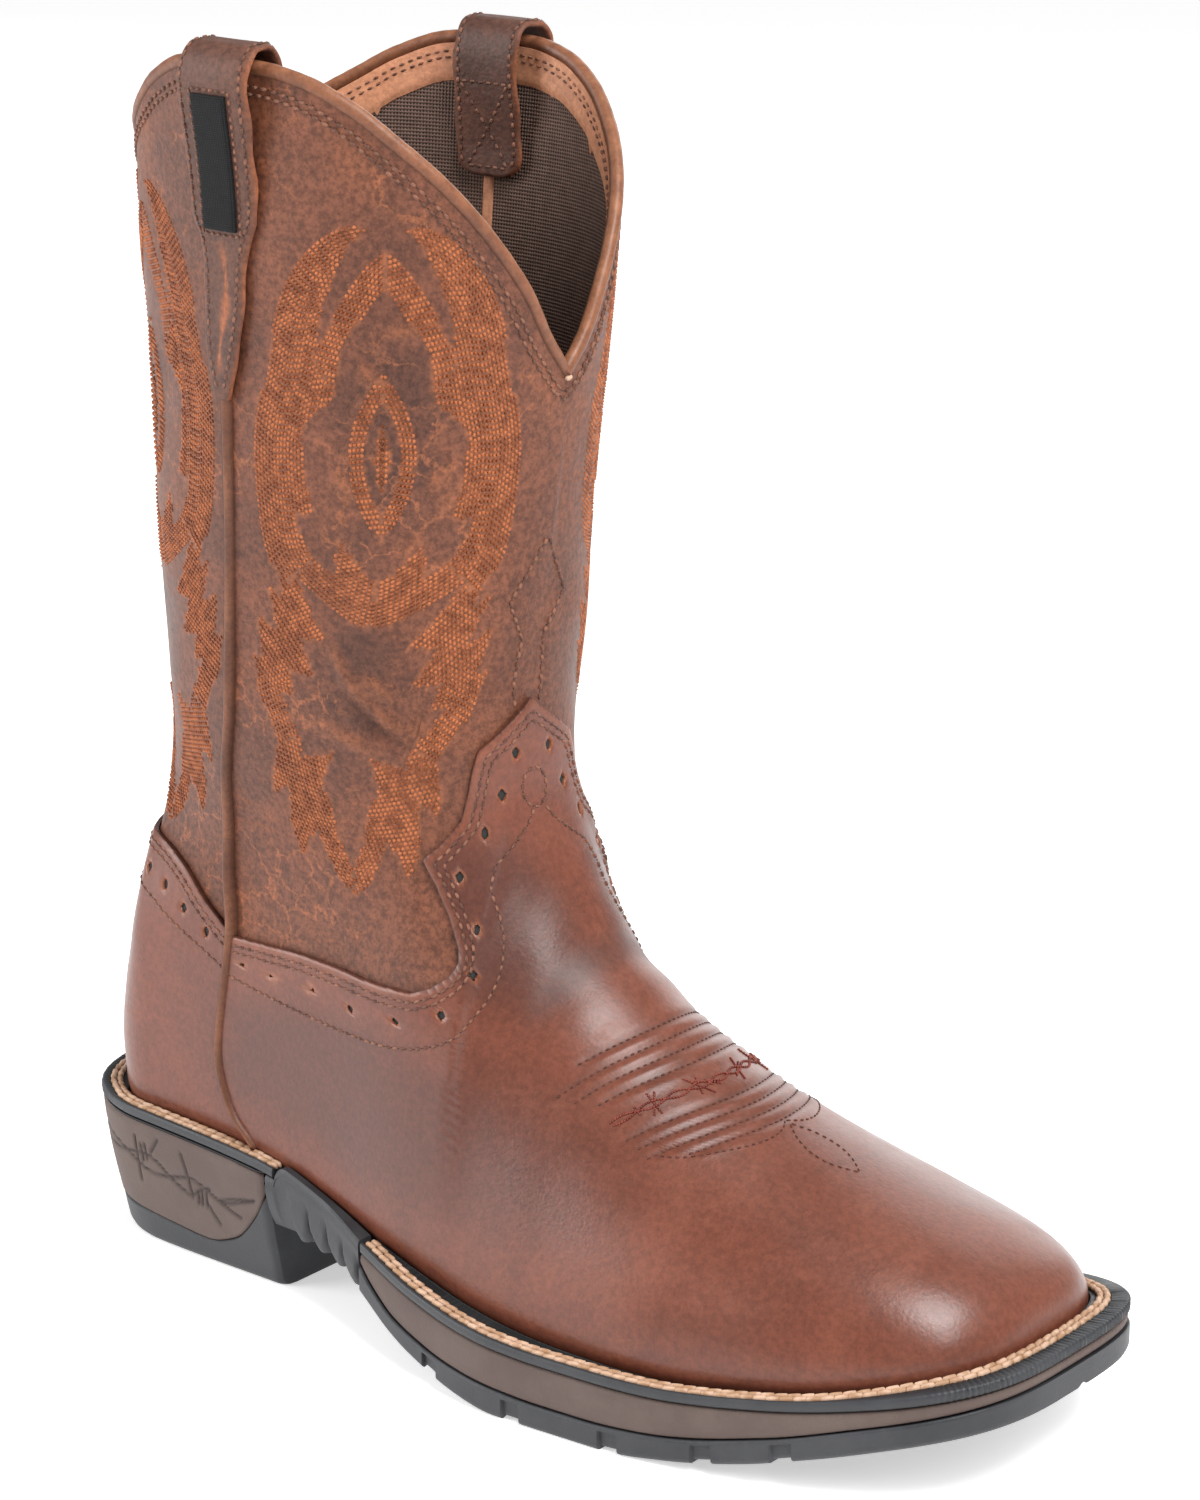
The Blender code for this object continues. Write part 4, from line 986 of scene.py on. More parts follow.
# Triangles kept where a field is over zero: crossing edges get a new point by linear interpolation of every value.
def clipped(values, triangles, field):
    inside = field[triangles] >= 0
    count = inside.sum(1)
    pairs = edgesOf(triangles)
    crossing = (field[pairs] >= 0).sum(1) == 1
    edges, back = np.unique(np.sort(pairs[crossing], 1), axis=0, return_inverse=True)
    share = (field[edges[:, 0]] / (field[edges[:, 0]] - field[edges[:, 1]]))[:, None]
    fresh = values[edges[:, 0]] * (1 - share) + values[edges[:, 1]] * share
    number = np.full(len(pairs), -1)
    number[crossing] = len(values) + back.reshape(-1)
    number = number.reshape(3, -1).T
    kept = [triangles[count == 3]]
    for k in range(3):
        a, b, c = k, (k + 1) % 3, (k + 2) % 3
        one = (count == 1) & inside[:, a]
        kept.append(np.stack([triangles[one, a], number[one, a], number[one, c]], -1))
        two = (count == 2) & ~inside[:, a]
        kept.append(np.stack([number[two, a], triangles[two, b], triangles[two, c]], -1))
        kept.append(np.stack([number[two, a], triangles[two, c], number[two, c]], -1))
    kept = np.concatenate(kept)
    every = np.concatenate([values, fresh])
    used, kept = np.unique(kept, return_inverse=True)
    return every[used], kept.reshape(-1, 3)


# Edges that only one triangle has, in that triangle's direction.
def borders(triangles):
    ends = edgesOf(triangles)
    _, back, count = np.unique(np.sort(ends, 1), axis=0, return_inverse=True, return_counts=True)
    return ends[count[back.reshape(-1)] == 1]


# Even-odd test of points against a closed polygon.
def within(points, polygon):
    odd = np.zeros(len(points), bool)
    for a, b in zip(polygon, np.roll(polygon, -1, 0)):
        over = (a[1] > points[:, 1]) != (b[1] > points[:, 1])
        with np.errstate(divide="ignore", invalid="ignore"):
            at = a[0] + (points[:, 1] - a[1]) * (b[0] - a[0]) / (b[1] - a[1])
        odd ^= over & (points[:, 0] < at)
    return odd


# Smallest distance from points to the points of a path.
def apartFrom(points, path, chunk=600):
    parts = []
    for part in np.array_split(points.astype(np.float32), max(1, len(points) // chunk)):
        parts.append(np.sqrt(np.square(part[:, None] - path[None].astype(np.float32)).sum(2).min(1)))
    return np.concatenate(parts)


# Foot panels: the vamp with its pointed tongue and ears, and the counter, lying over the shaft's skin.
foot = {
    "thick": 1.3, "seamGap": 1.3, "roll": 0.35, "rollWide": 0.9,
    "perforations": (
        (0.123, 152.7), (0.168, 142.7), (0.225, 133.8), (0.306, 123.4), (0.291, 111.7), (0.330, 101.0),
        (0.449, 90.9), (0.578, 86.6), (0.697, 86.2), (0.800, 87.2), (0.900, 87.2), (0.978, 87.6), (1.138, 93.4),
        (1.267, 97.9), (1.388, 102.3), (1.51, 105.2), (1.64, 107.4), (1.77, 108.9), (1.90, 109.8),
    ),
    "diamond": (1.35, 1.75), "holeReach": 6.0, "holeScale": 1.1, "holeShadeSize": (1.5, 1.9), "holeShadeDeep": 0.85,
    "holeShadeThick": 0.25,
    # strength, place and width of the rubbed band beside edges, of the painted highlight round holes and of the painted
    # shade at edges; strength of the painted shade in the stitched rows
    "edgeWear": (0.22, 0.8, 0.8), "holeRimSheen": (0.7, 0.1, 0.35), "edgeShade": (0.5, 0.05), "rowShade": 0.35,
    "holeRim": 1.6,
    "vampTurns": ((0, 0.30, 62), (0.30, 0.52, 30), (0.52, 1.0, 32)), "vampLevels": ((0, 0.27, 16), (0.27, 0.57, 104)),
    "vampTop": (0.066, 168.0), "counterSteps": 30, "below": -60.0,
}
lateralEdge = np.array(panels["vamp"], float)
vampLine = np.concatenate([lateralEdge[::-1], mirroredRows(lateralEdge)[1:]])
counterShare = np.linspace(0, 1, foot["counterSteps"])
counterFine = np.stack([np.linspace(1, 2, foot["counterSteps"]), curve(panels["counter"], counterShare)], -1)
counterFine = np.concatenate([counterFine, np.stack([4 - counterFine[::-1, 0], counterFine[::-1, 1]], -1)[1:]])
vampEdge = surfacePath(vampLine, 0.4)
counterEdge = surfacePath(counterFine, 0.4)

perforated = []
for share, z in foot["perforations"]:
    perforated.append((share, z))
    if share > 0.1:
        perforated.append((float(mirrored(share, z)) if share < 1 else 4 - share, z))
holeTurn, holeZ = np.array(perforated).T
holeCentre, holeOut = onBody(holeTurn, levelAt(holeTurn, holeZ))
holeUp = unit(np.array([0.0, 0.0, 1.0]) - holeOut * holeOut[:, 2:])
holeSide = np.cross(holeUp, holeOut)


# Field of the diamond holes: the smallest |a| / width + |b| / height - 1 over all holes, scaled to mm.
def holeField(points):
    field = np.full(len(points), 9.0)
    for centre, aside, up in zip(holeCentre, holeSide, holeUp):
        away = points - centre
        close = np.abs(away).max(1) < foot["holeReach"]
        a, b = np.abs(away[close] @ aside), np.abs(away[close] @ up)
        inside = a / foot["diamond"][0] + b / foot["diamond"][1] - 1
        field[close] = np.minimum(field[close], inside * foot["holeScale"])
    return field


# A foot panel: a grid of turns and levels, cut by its edge and holes, thickened inward, with a rolled rim.
def footPanel(name, turnRow, levelRows, polygon, edgePath):
    share = lambda side, back: foot["seamGap"] / seamArc(side, levelRows, back)[:, None]
    clear, rear = np.where(turnRow[None] > 0, share(-1, False), share(1, False)), share(-1, True)
    t = turnRow[None] * (1 - clear) if turnRow[0] < 0 else 2 + (turnRow[None] - 2) * (1 - rear)
    t = swungTurn(t, levelRows[:, None])
    points, out = onBody(t, levelRows[:, None])
    rows, columns = t.shape
    flatPoints = points.reshape(-1, 3)
    signed = np.where(within(np.stack([t.ravel(), flatPoints[:, 2]], -1), polygon), 1.0, -1.0)
    edge = apartFrom(flatPoints, edgePath) * signed
    holes = holeField(flatPoints)
    four = quads(rows, columns)
    triangles = np.concatenate([four[:, [0, 1, 2]], four[:, [0, 2, 3]]])
    values = np.column_stack([flatPoints, out.reshape(-1, 3), edge, holes,
        stainOf("foot", t.ravel(), flatPoints[:, 2])])
    values, triangles = clipped(values, triangles, np.minimum(edge, holes))
    points, out, edge, holes = values[:, :3], unit(values[:, 3:6]), values[:, 6], values[:, 7]
    rim = np.clip(1 - np.minimum(edge, holes * foot["holeRim"]) / foot["rollWide"], 0, 1)
    pressed = footLift(points)
    outer = points + out * (pressed - foot["roll"] * rim**2)[:, None]
    inner = points - out * foot["thick"]
    count = len(points)
    sides = borders(triangles)
    wallFaces = np.stack([sides[:, 1], sides[:, 0], sides[:, 0] + count, sides[:, 1] + count], -1)
    # Lighter band on the rolled edge from rubbing, and a painted highlight on the rim round each perforation.
    rimBand = lambda away, strength, place, wide: strength * bell((away - place) / wide)
    wearAndSheen = rimBand(edge, *foot["edgeWear"]) + rimBand(holes, *foot["holeRimSheen"])
    # Painted shadow along the cut edge and painted shade in the grooves of the stitched rows.
    paintedShade = foot["edgeShade"][0] * (edge < foot["edgeShade"][1])
    paintedShade = paintedShade + foot["rowShade"] * np.clip(-pressed / toeRows["groove"], 0, 1) ** 2
    return makePiece(
        name, np.concatenate([outer, inner]), [np.concatenate([triangles, triangles[:, ::-1] + count]), wallFaces],
        finishes["foot"], slot="foot_leather", stands=(name.replace("Panel", ""),), sharp=0.9,
        facts={"wearAndSheen": np.clip(np.tile(wearAndSheen, 2), 0, 1), "paintedShade": np.clip(np.tile(paintedShade, 2), 0, 1),
            "stain": np.tile(values[:, 8], 2)},
    )


half = steps(*foot["vampTurns"])
vampTurn = np.concatenate([-half[::-1], half[1:]])
vampLevels = steps(*foot["vampLevels"], (foot["vampLevels"][-1][1], float(levelAt(*foot["vampTop"])), 58))
vampPolygon = np.concatenate([vampLine[:1] + [0.3, 0], vampLine, vampLine[-1:] - [0.3, 0],
    [[-1.3, foot["below"]], [1.3, foot["below"]]]])
footPanel("vampPanel", vampTurn, vampLevels, vampPolygon, vampEdge[0])
seamTop = panels["counter"][0][1]
counterPolygon = np.concatenate([[[0.9, seamTop]], counterFine,
    [[3.1, seamTop], [3.1, foot["below"]], [0.9, foot["below"]]]])
footPanel("counterPanel", np.linspace(1.0, 3.0, 150), np.linspace(0, 0.76, 70), counterPolygon, counterEdge[0])
print("vamp and counter made")

# Painted shade seen through the perforations: a small near-black lozenge under each hole.
ring = np.array([(1, 0), (0, 1), (-1, 0), (0, -1)]) * foot["holeShadeSize"]
plate = holeCentre[:, None] - holeOut[:, None] * foot["holeShadeDeep"]
plate = plate + holeSide[:, None] * ring[None, :, :1] + holeUp[:, None] * ring[None, :, 1:]
plates = np.concatenate([plate, plate - holeOut[:, None] * foot["holeShadeThick"]], 1)
number = (np.arange(len(plates)) * 8)[:, None]
lid = np.array([[0, 1, 2, 3], [7, 6, 5, 4], [1, 0, 4, 5], [2, 1, 5, 6], [3, 2, 6, 7], [0, 3, 7, 4]])
makePiece("perforationShade", plates, [(lid[None] + number[:, None]).reshape(-1, 4)], finishes["holeShade"],
    slot="foot_leather")

# Collar binding: a rolled bead along the top edge, slightly lumpy, flattened against the skin, with painted shade along
# its underside.
binding = {"radius": 1.75, "stations": 620, "sides": 14, "lump": 0.02, "lumpTurns": (0.9, 0.23), "sink": 0.72,
    "tall": 1.05,
    "wearTurn": 0.31, "wearAndSheen": 0.6, "dark": (0.6, -0.75, 0.25),
    "knotOut": 1.3, "knotDown": 0.6, "knotReach": (0, 1.1, 0.3), "knotRadius": 0.7}
rimTurn = np.linspace(0, 4, binding["stations"] + 1)[:-1]
rimPoints, rimOut = onBody(rimTurn, levelAt(rimTurn, collarHeight(rimTurn)))
rimPoints = rimPoints + rimOut * shaftFolds(rimTurn, rimPoints[:, 2])[:, None]
rimAlong = unit(np.roll(rimPoints, -1, 0) - np.roll(rimPoints, 1, 0))
rimUp = unit(np.cross(rimAlong, rimOut))
rimUp = rimUp * np.sign(rimUp[:, 2:3])
beadTurn = np.linspace(0, 2 * np.pi, binding["sides"] + 1)[:-1]
station = np.arange(binding["stations"])
lump = 1 + binding["lump"] * np.sin(station * binding["lumpTurns"][0]) * np.sin(station * binding["lumpTurns"][1])
size = binding["radius"] * lump[:, None, None]
beadCentre = rimPoints - rimOut * last["wall"] / 2 + rimUp * binding["radius"] * binding["sink"]
beadFlat, beadTall = np.cos(beadTurn)[None, :, None], binding["tall"] * np.sin(beadTurn)[None, :, None]
bead = beadCentre[:, None] + size * (beadFlat * rimOut[:, None] + beadTall * rimUp[:, None])
beadWear = np.repeat((0.35 + 0.65 * np.sin(station * binding["wearTurn"]) ** 2)[:, None], binding["sides"], 1)
beadWear = np.clip(beadWear * np.clip(np.sin(beadTurn), 0, 1)[None], 0, 1)
# Painted shade: a dark band round the lower side of the bead.
strength, place, wide = binding["dark"]
beadShade = np.repeat(strength * bell((np.sin(beadTurn) - place) / wide)[None], binding["stations"], 0)
sweepPiece("collarBinding", bead, finishes["binding"], loop=True, slot="binding_leather",
    stands=("collar_binding",), sharp=None, facts={"wearAndSheen": binding["wearAndSheen"] * beadWear, "paintedShade": beadShade})
knot = beadCentre[:1] + rimOut[:1] * binding["knotOut"] - rimUp[:1] * binding["knotDown"]
reach = np.array([binding["knotReach"]])
threadPiece("collarKnot", [(knot - reach, knot + reach, rimOut[:1])], binding["knotRadius"], finishes["weltThread"],
    "binding_leather", rings=3, sides=8)
print("binding made")


# Place on or off the leg beside a seam: arc length from the seam, height and distance out.
def legPlace(side, along, z, out):
    along, z, out = np.broadcast_arrays(along, z, out)
    level = legLevel(side, z)
    points, normal = onBody(besideSeam(side, level, along), level)
    return points + normal * out[..., None], normal


# Pull straps: a band that follows the table of height, distance out and half width, tail to inner end.
strap = {
    "path": (
        (240.0, 1.6, 2.3), (250.5, 1.6, 5.0), (262.0, 1.6, 6.4), (272.0, 1.6, 6.9), (277.0, 1.65, 7.6),
        (281.0, 1.7, 8.8), (285.0, 1.85, 10.6), (292.0, 2.3, 11.0), (303.0, 3.6, 11.0), (312.0, 5.0, 11.0),
        (318.5, 5.6, 11.0), (323.2, 4.2, 11.0), (325.6, 1.0, 11.0), (325.6, -3.2, 11.0), (323.2, -6.4, 11.0),
        (318.0, -7.6, 11.0), (310.0, -6.8, 11.0), (302.5, -5.4, 11.0), (297.0, -4.4, 11.0), (293.0, -4.0, 11.0),
        (290.2, -4.0, 10.4), (288.0, -4.0, 8.6), (286.8, -4.0, 5.4),
    ),
    "shift": 1.5, "shiftStart": 245.0, "shiftRun": 30.0, "thick": 2.0, "rows": 150, "across": 25, "stitchIn": 2.0,
    "pitch": 2.5, "gap": 0.7, "boxLow": 3.2, "boxHigh": 25.0, "boxWide": 8.2,
    "boxEnd": 6.6, "crossEnd": 6.8, "edgeWear": 0.8, "streakWear": 0.95, "streakRows": ((6, 6.0), (46.0, 8.0)),
}
strapRows = np.array(strap["path"])
strapRun = runOf(strapRows[:, :2])
strapAt = np.linspace(0, strapRun[-1], strap["rows"])
strapZ, strapOut, strapHalf = (curve(np.column_stack([strapRun, strapRows[:, k]]), strapAt) for k in range(3))
strapAhead = unit(np.stack([np.gradient(strapOut), np.gradient(strapZ)], -1))
strapFace = np.stack([strapAhead[:, 1], -strapAhead[:, 0]], -1)  # away from the strap's own middle, outer face


# Point of a strap: share across from -1 to 1, and depth through it, positive to its outer face.
def strapPlace(side, row, across, deep):
    drop = 0.0 if side < 0 else panels["medialDrop"]
    at = lambda v: np.interp(row, np.arange(strap["rows"]), v)
    z, out = at(strapZ) + at(strapFace[:, 1]) * deep, at(strapOut) + at(strapFace[:, 0]) * deep
    along = across - strap["shift"] * ease((z - strap["shiftStart"]) / strap["shiftRun"])
    return legPlace(side, along, z - drop, out)


# Closed section of the strap: its outer face from edge to edge and back along the inner, rounded as (1 - x^8)^0.5.
slabX = np.linspace(-1, 1, strap["across"])
slabX = np.concatenate([slabX, slabX[-2:0:-1]])
slabY = np.sqrt(np.clip(1 - np.abs(slabX) ** 8, 0, 1)) * np.where(np.arange(len(slabX)) < strap["across"], 1.0, -1.0)
for side, word in sideWords:
    row = np.arange(strap["rows"])[:, None]
    across = slabX[None] * strapHalf[:, None]
    ripple = 1 + 0.03 * np.sin(row * 0.37 + slabX * 2.0)
    points, _ = strapPlace(side, np.repeat(row, len(slabX), 1).astype(float), across * ripple,
        slabY[None] * strap["thick"] / 2)
    edgeWear = np.clip(np.abs(slabX)[None] ** 14 * (0.35 + 0.75 * np.sin(row * 0.11 + 1.0) ** 2), 0, 1)
    streak = bell((across + 0.6 - 0.8 * np.sin(row * 0.16)) / (0.8 + 0.5 * np.sin(row * 0.31)))
    (start, grown), (end, faded) = strap["streakRows"]
    streak = streak * ease((row - start) / grown) * ease((end - row) / faded)
    sweepPiece("pullStrap" + word, points, finishes["strap"], slot="strap_leather",
        stands=("pull_strap_" + word.lower(),), sharp=None,
        facts={"wearAndSheen": np.clip(strap["edgeWear"] * edgeWear + strap["streakWear"] * streak, 0, 1)})
    perMm = strap["rows"] / strapRun[-1]
    low, high = strap["rows"] - strap["boxLow"] * perMm, strap["rows"] - strap["boxHigh"] * perMm
    wide, end, cross = strap["boxWide"], strap["boxEnd"], strap["crossEnd"]
    rows = np.arange(3.0, low, 0.5)
    inset = np.maximum(np.interp(rows, np.arange(strap["rows"]), strapHalf) - strap["stitchIn"], 0.3)
    lines = [(rows, -inset), (rows, inset)]
    # stitched box and cross that hold the inner end
    share = np.linspace(0, 1, 40)
    for r0, a0, r1, a1 in ((low, -end, low, end), (high, -wide, high, wide), (low, -cross, high, wide),
            (low, cross, high, -wide)):
        lines.append((r0 + (r1 - r0) * share, a0 + (a1 - a0) * share))
    for rows, inset in lines:
        path, deeper = (strapPlace(side, rows, inset, np.full(len(rows), k * strap["thick"]))[0] for k in (0.5, 0.9))
        sew("seam", path, unit(deeper - path), strap["pitch"], strap["gap"])
print("pull straps made")

# Plain woven patch on the lateral strap, with a stitched border.
patch = {"half": 5.1, "low": 282.0, "high": 315.0, "thick": 0.8, "gap": 0.4, "rows": 40, "columns": 16,
    "pitch": 2.0, "stitchGap": 0.5, "frame": (1.0, 1.1),
    "roll": 0.6, "rollWide": 0.7}
patchZ = np.linspace(patch["low"], patch["high"], patch["rows"])[:, None]
patchX = np.linspace(-1, 1, patch["columns"])[None] * patch["half"]
outerRows = strapRows[:12]
patchBase = curve(outerRows, patchZ, 1) + strap["thick"] / 2 + 0.02
rimAway = np.minimum(patch["half"] - np.abs(patchX), np.minimum(patchZ - patch["low"], patch["high"] - patchZ))
patchTop = patchBase + patch["gap"] + patch["thick"] * (1
    - patch["roll"] * np.clip(1 - rimAway / patch["rollWide"], 0, 1) ** 2)
outer, patchOut = legPlace(-1, patchX - strap["shift"], patchZ, patchTop)
inner, _ = legPlace(-1, patchX - strap["shift"], patchZ, patchBase + 0 * patchX)
patchFlat = np.stack([patchX + 0 * patchZ, patchZ + 0 * patchX, 0 * patchX * patchZ], -1)
shellPiece("strapPatch", outer, inner, finishes["patch"], slot="patch_fabric", stands=("strap_patch",),
    facts={"flat": patchFlat})
frameX, frameZ = patch["half"] + patch["frame"][0], -patch["frame"][1]
loop = np.array([(-frameX, patch["low"] + frameZ), (frameX, patch["low"] + frameZ),
    (frameX, patch["high"] - frameZ), (-frameX, patch["high"] - frameZ), (-frameX, patch["low"] + frameZ)])
loop = atRun(loop, np.linspace(0, runOf(loop)[-1], 240))
path, up = legPlace(-1, loop[:, 0] - strap["shift"], loop[:, 1], curve(outerRows, loop[:, 1], 1) + strap["thick"] / 2)
sew("seam", path, up, patch["pitch"], patch["stitchGap"])

# Side piping: a folded strip over each side seam, round on top with a groove behind it; painted shade in the groove and
# at its edges, and a painted highlight along its top.
piping = {"half": 1.7, "rise": 2.15, "top": 241.5, "low": 38.2, "rows": 220, "across": 13, "groove": 0.5,
    "grooveAt": 0.45}
for side, word in sideWords:
    z = np.linspace(piping["low"], piping["top"] - (side > 0) * panels["medialDrop"], piping["rows"])[:, None]
    across = np.linspace(-1, 1, piping["across"])[None]
    depth = skinDepth(np.full(z.shape, 1.0), z)
    base = -depth - 0.1
    hump = (piping["rise"] + 0.4 * depth) * (1 - np.abs(across) ** 2.4) ** 0.6
    bulge = 0.15 + hump - piping["groove"] * bell((across - piping["grooveAt"]) / 0.16)
    place = piping["half"] * across + curve(seamSwing, z)
    outer, _ = legPlace(side, place, z, base + bulge)
    inner, _ = legPlace(side, place, z, base - 0.5 + 0 * across)
    # Painted shade in the groove and at the edges; painted highlight, broken along its length, on the round top.
    shade = np.repeat(0.75 * bell((across - piping["grooveAt"]) / 0.14) + 0.6 * np.abs(across) ** 10,
        piping["rows"], 0)
    shine = np.clip(0.5 * bell((across + 0.25) / 0.4) * (0.5 + 0.5 * np.sin(z * 0.21)), 0, 1)
    shellPiece("sidePiping" + word, outer, inner, finishes["piping"], slot="binding_leather",
        stands=("side_piping_" + word.lower(),), sharp=None, facts={"paintedShade": np.clip(shade, 0, 1), "wearAndSheen": shine})
print("patch and piping made")

# Facing inside the collar: a tan strip over the lining.
facing = {"wide": 9.5, "thick": 0.8, "rows": 12, "columns": 420, "seams": (2.0, 3.6), "pitch": 2.6, "gap": 0.7,
    "radius": 0.32,
    "steepest": 2.2, "edge": (0.7, 0.9)}
faceTurn = np.linspace(0, 4, facing["columns"] + 1)[:-1]
faceDown = np.linspace(0, facing["wide"], facing["rows"])[:, None]
faceTop = collarHeight(faceTurn)
rimPlan = rimPoints[(faceTurn / 4 * binding["stations"]).astype(int)][:, :2]
slope = np.abs(np.gradient(faceTop)) / np.maximum(np.linalg.norm(np.gradient(rimPlan, axis=0), axis=1), 0.2)
faceZ = faceTop[None] - faceDown * np.sqrt(1 + np.minimum(slope, facing["steepest"]) ** 2)[None]
facePoints, faceOut = onBody(faceTurn[None], levelAt(np.repeat(faceTurn[None], facing["rows"], 0), faceZ))
faceLift = (shaftLift(faceTurn[None], faceZ) - last["wall"])[..., None]
edgeDrop = 1 - facing["edge"][0] * bell((faceDown - facing["wide"]) / facing["edge"][1])
inner = facePoints + faceOut * (faceLift - facing["thick"] * edgeDrop[..., None])
shellPiece("collarFacing", facePoints + faceOut * (faceLift + 0.02), inner, finishes["facing"], wrap=True,
    slot="binding_leather")
for down in facing["seams"]:
    row = np.interp(down, faceDown[:, 0], np.arange(facing["rows"]))
    low = int(row)
    path = inner[low] * (1 - row + low) + inner[low + 1] * (row - low)
    path, up = np.concatenate([path, path[:1]]), -np.concatenate([faceOut[low], faceOut[low][:1]])
    threadSets["facing"].append(stitches(path, up, facing["pitch"], facing["gap"]))
threadPiece("facingStitches", threadSets["facing"], facing["radius"], finishes["seamThread"], "binding_leather")
# Tape over the side seams inside.
tape = {"half": 1.7, "thick": 0.5, "low": 160.0, "high": 300.0, "rows": 70, "columns": 9}
for side, word in sideWords:
    z = np.linspace(tape["low"], tape["high"], tape["rows"])[:, None]
    across = np.linspace(-1, 1, tape["columns"])[None] * tape["half"]
    base = shaftLift(besideSeam(side, legLevel(side, z), across), z) - last["wall"]
    outer, _ = legPlace(side, across, z, base - tape["thick"] * (1 - (across / tape["half"]) ** 4))
    inner, _ = legPlace(side, across, z, base + 0.2)
    shellPiece("innerSeamTape" + word, outer, inner, finishes["facing"], slot="binding_leather", sharp=None)
print("facing made")

# Seam stitches: double rows under the binding and inside the panels' edges, single rows on the foot and the lance.
seams = {
    "pitch": 2.7, "gap": 0.75, "lean": 0.12, "singlePitch": 2.5, "singleGap": 0.7, "lancePitch": 2.4, "lift": 0.02,
    "radius": 0.42, "collarRows": (3.1, 4.9), "edgeRows": (2.3, 4.1),
    "lower": (
        (0.079, 138.4), (0.116, 133.4), (0.242, 124.0), (0.224, 111.5), (0.262, 102.4), (0.317, 95.9),
        (0.376, 91.0), (0.456, 84.8), (0.593, 79.8), (0.730, 79.1), (0.874, 80.6), (1.0, 83.2), (1.062, 86.0),
        (1.354, 94.5), (1.455, 98.6), (1.60, 102.0), (1.80, 104.8), (2.0, 105.6),
    ),
    "lance": ((0.025, 206.0), (0.149, 191.0), (0.097, 181.0), (0.120, 169.5), (0.112, 163.5)),
    "bead": (0.070, 143.4, 3.8, 5.0), "beadArc": 95.0, "holeRadius": 0.44, "collarScale": 1.15,
}
collarPath = rimPoints - rimOut * shaftFolds(rimTurn, rimPoints[:, 2])[:, None]
closed, ups = np.concatenate([collarPath, collarPath[:2]]), np.concatenate([rimOut, rimOut[:2]])
for away in seams["collarRows"]:
    moved, out, t = offsetPath(closed, ups, away * downSign(closed, ups, 5))
    moved = moved + out * (shaftLift(t, moved[:, 2]) + 0.05)[:, None]
    sew("collar", moved, out, seams["pitch"], seams["gap"], seams["lean"])
for path, out, t, z in (vampEdge, counterEdge):
    for away in seams["edgeRows"]:
        moved, up, _ = offsetPath(path, out, away * downSign(path, out, len(out) // 3))
        moved = moved + up * (footLift(moved) + seams["lift"])[:, None]
        sew("seam", moved, up, seams["pitch"], seams["gap"], seams["lean"])
lower = np.array(seams["lower"])
other = np.where(lower[:, :1] < 1, mirroredRows(lower), lower * [-1, 1])
for rows in (lower, other):
    path, out, t, z = surfacePath(rounded(rows, 1), 0.5)
    path = path + out * (footLift(path) + seams["lift"])[:, None]
    sew("seam", path, out, seams["singlePitch"], seams["singleGap"])
turn = np.linspace(0, 2 * np.pi, 40)
share, height, wide, tall = seams["bead"]
path, out, t, z = surfacePath(np.stack([share + wide / seams["beadArc"] * np.sin(turn),
    height + tall * np.cos(turn)], -1), 0.5)
sew("seam", path + out * seams["lift"], out, seams["singlePitch"], seams["singleGap"])
lance = np.array(seams["lance"])
for rows in (lance, mirroredRows(lance)):
    path, out, t, z = surfacePath(rows, 0.5)
    path = path + out * (shaftLift(t, z) + 0.03)[:, None]
    sew("collar", path, out, seams["lancePitch"], seams["singleGap"])
threadPiece("seamStitches", threadSets["seam"], seams["radius"], finishes["seamThread"], "foot_leather", rings=3,
    sides=6, rise=0.0)
threadPiece("collarStitches", threadSets["collar"], seams["collarScale"] * seams["radius"], finishes["seamThread"],
    "shaft_leather", rings=3, sides=6, rise=0.1)
# Painted shade in the needle holes: dark spindles sunk between the stitches.
threadPiece("needleHoleShade", threadSets["holeShade"], seams["holeRadius"], finishes["needle"], "foot_leather", rise=-0.62,
    sink=0.9)
print("seam stitches made")


# Points of the toe's top at a station and side distance: the body's highest point there, by settling a guess.
def onToe(x, y):
    guess = np.stack([x, y + shift(x), np.zeros_like(x)], -1)
    side = np.where(y < 0, -1, 1)
    wide = lambda z: np.where(side < 0, halfWidth(x, z, -1), halfWidth(x, z, 1))
    guess[:, 2] = halved(seat(x) + 12.0, ridge(x), lambda z: wide(z) > np.abs(y))[0]
    points, out, _ = settle(guess)
    return points + out * (footLift(points) + 0.03)[:, None], out


# Toe stitching: bowed rows across the vamp, a twisted wire with barbs between them, petals and a leaf in front.
toeThreads = []
for station, half in toeRows["rows"]:
    y = np.linspace(-half, half, 120)
    path, out = onToe(station - toeRows["bow"] * y * y, y)
    toeThreads.append(stitches(path, out, toeRows["pitch"], toeRows["gap"]))
petals = {
    "side": ((204.2, -28.5), (209.0, -26.5), (213.5, -23.0), (218.5, -17.5), (222.0, -11.5), (223.0, -6.0),
        (222.0, -2.0), (220.5, 0.0)),
    "leaf": ((222.0, 0.0), (227.0, -3.6), (233.0, -4.8), (238.0, -3.4), (242.5, 0.0)),
}
for key, rows in petals.items():
    rows = rounded(rows)
    for flank in (1, -1):
        path = atRun(rows, np.linspace(0, runOf(rows)[-1], 90))
        path, out = onToe(path[:, 0], path[:, 1] * flank)
        toeThreads.append(stitches(path, out, toeRows["pitch"], toeRows["gap"]))
threadPiece("toeStitches", toeThreads, toeRows["radius"], finishes["darkThread"], "foot_leather", rings=2, sides=5,
    rise=0.1)
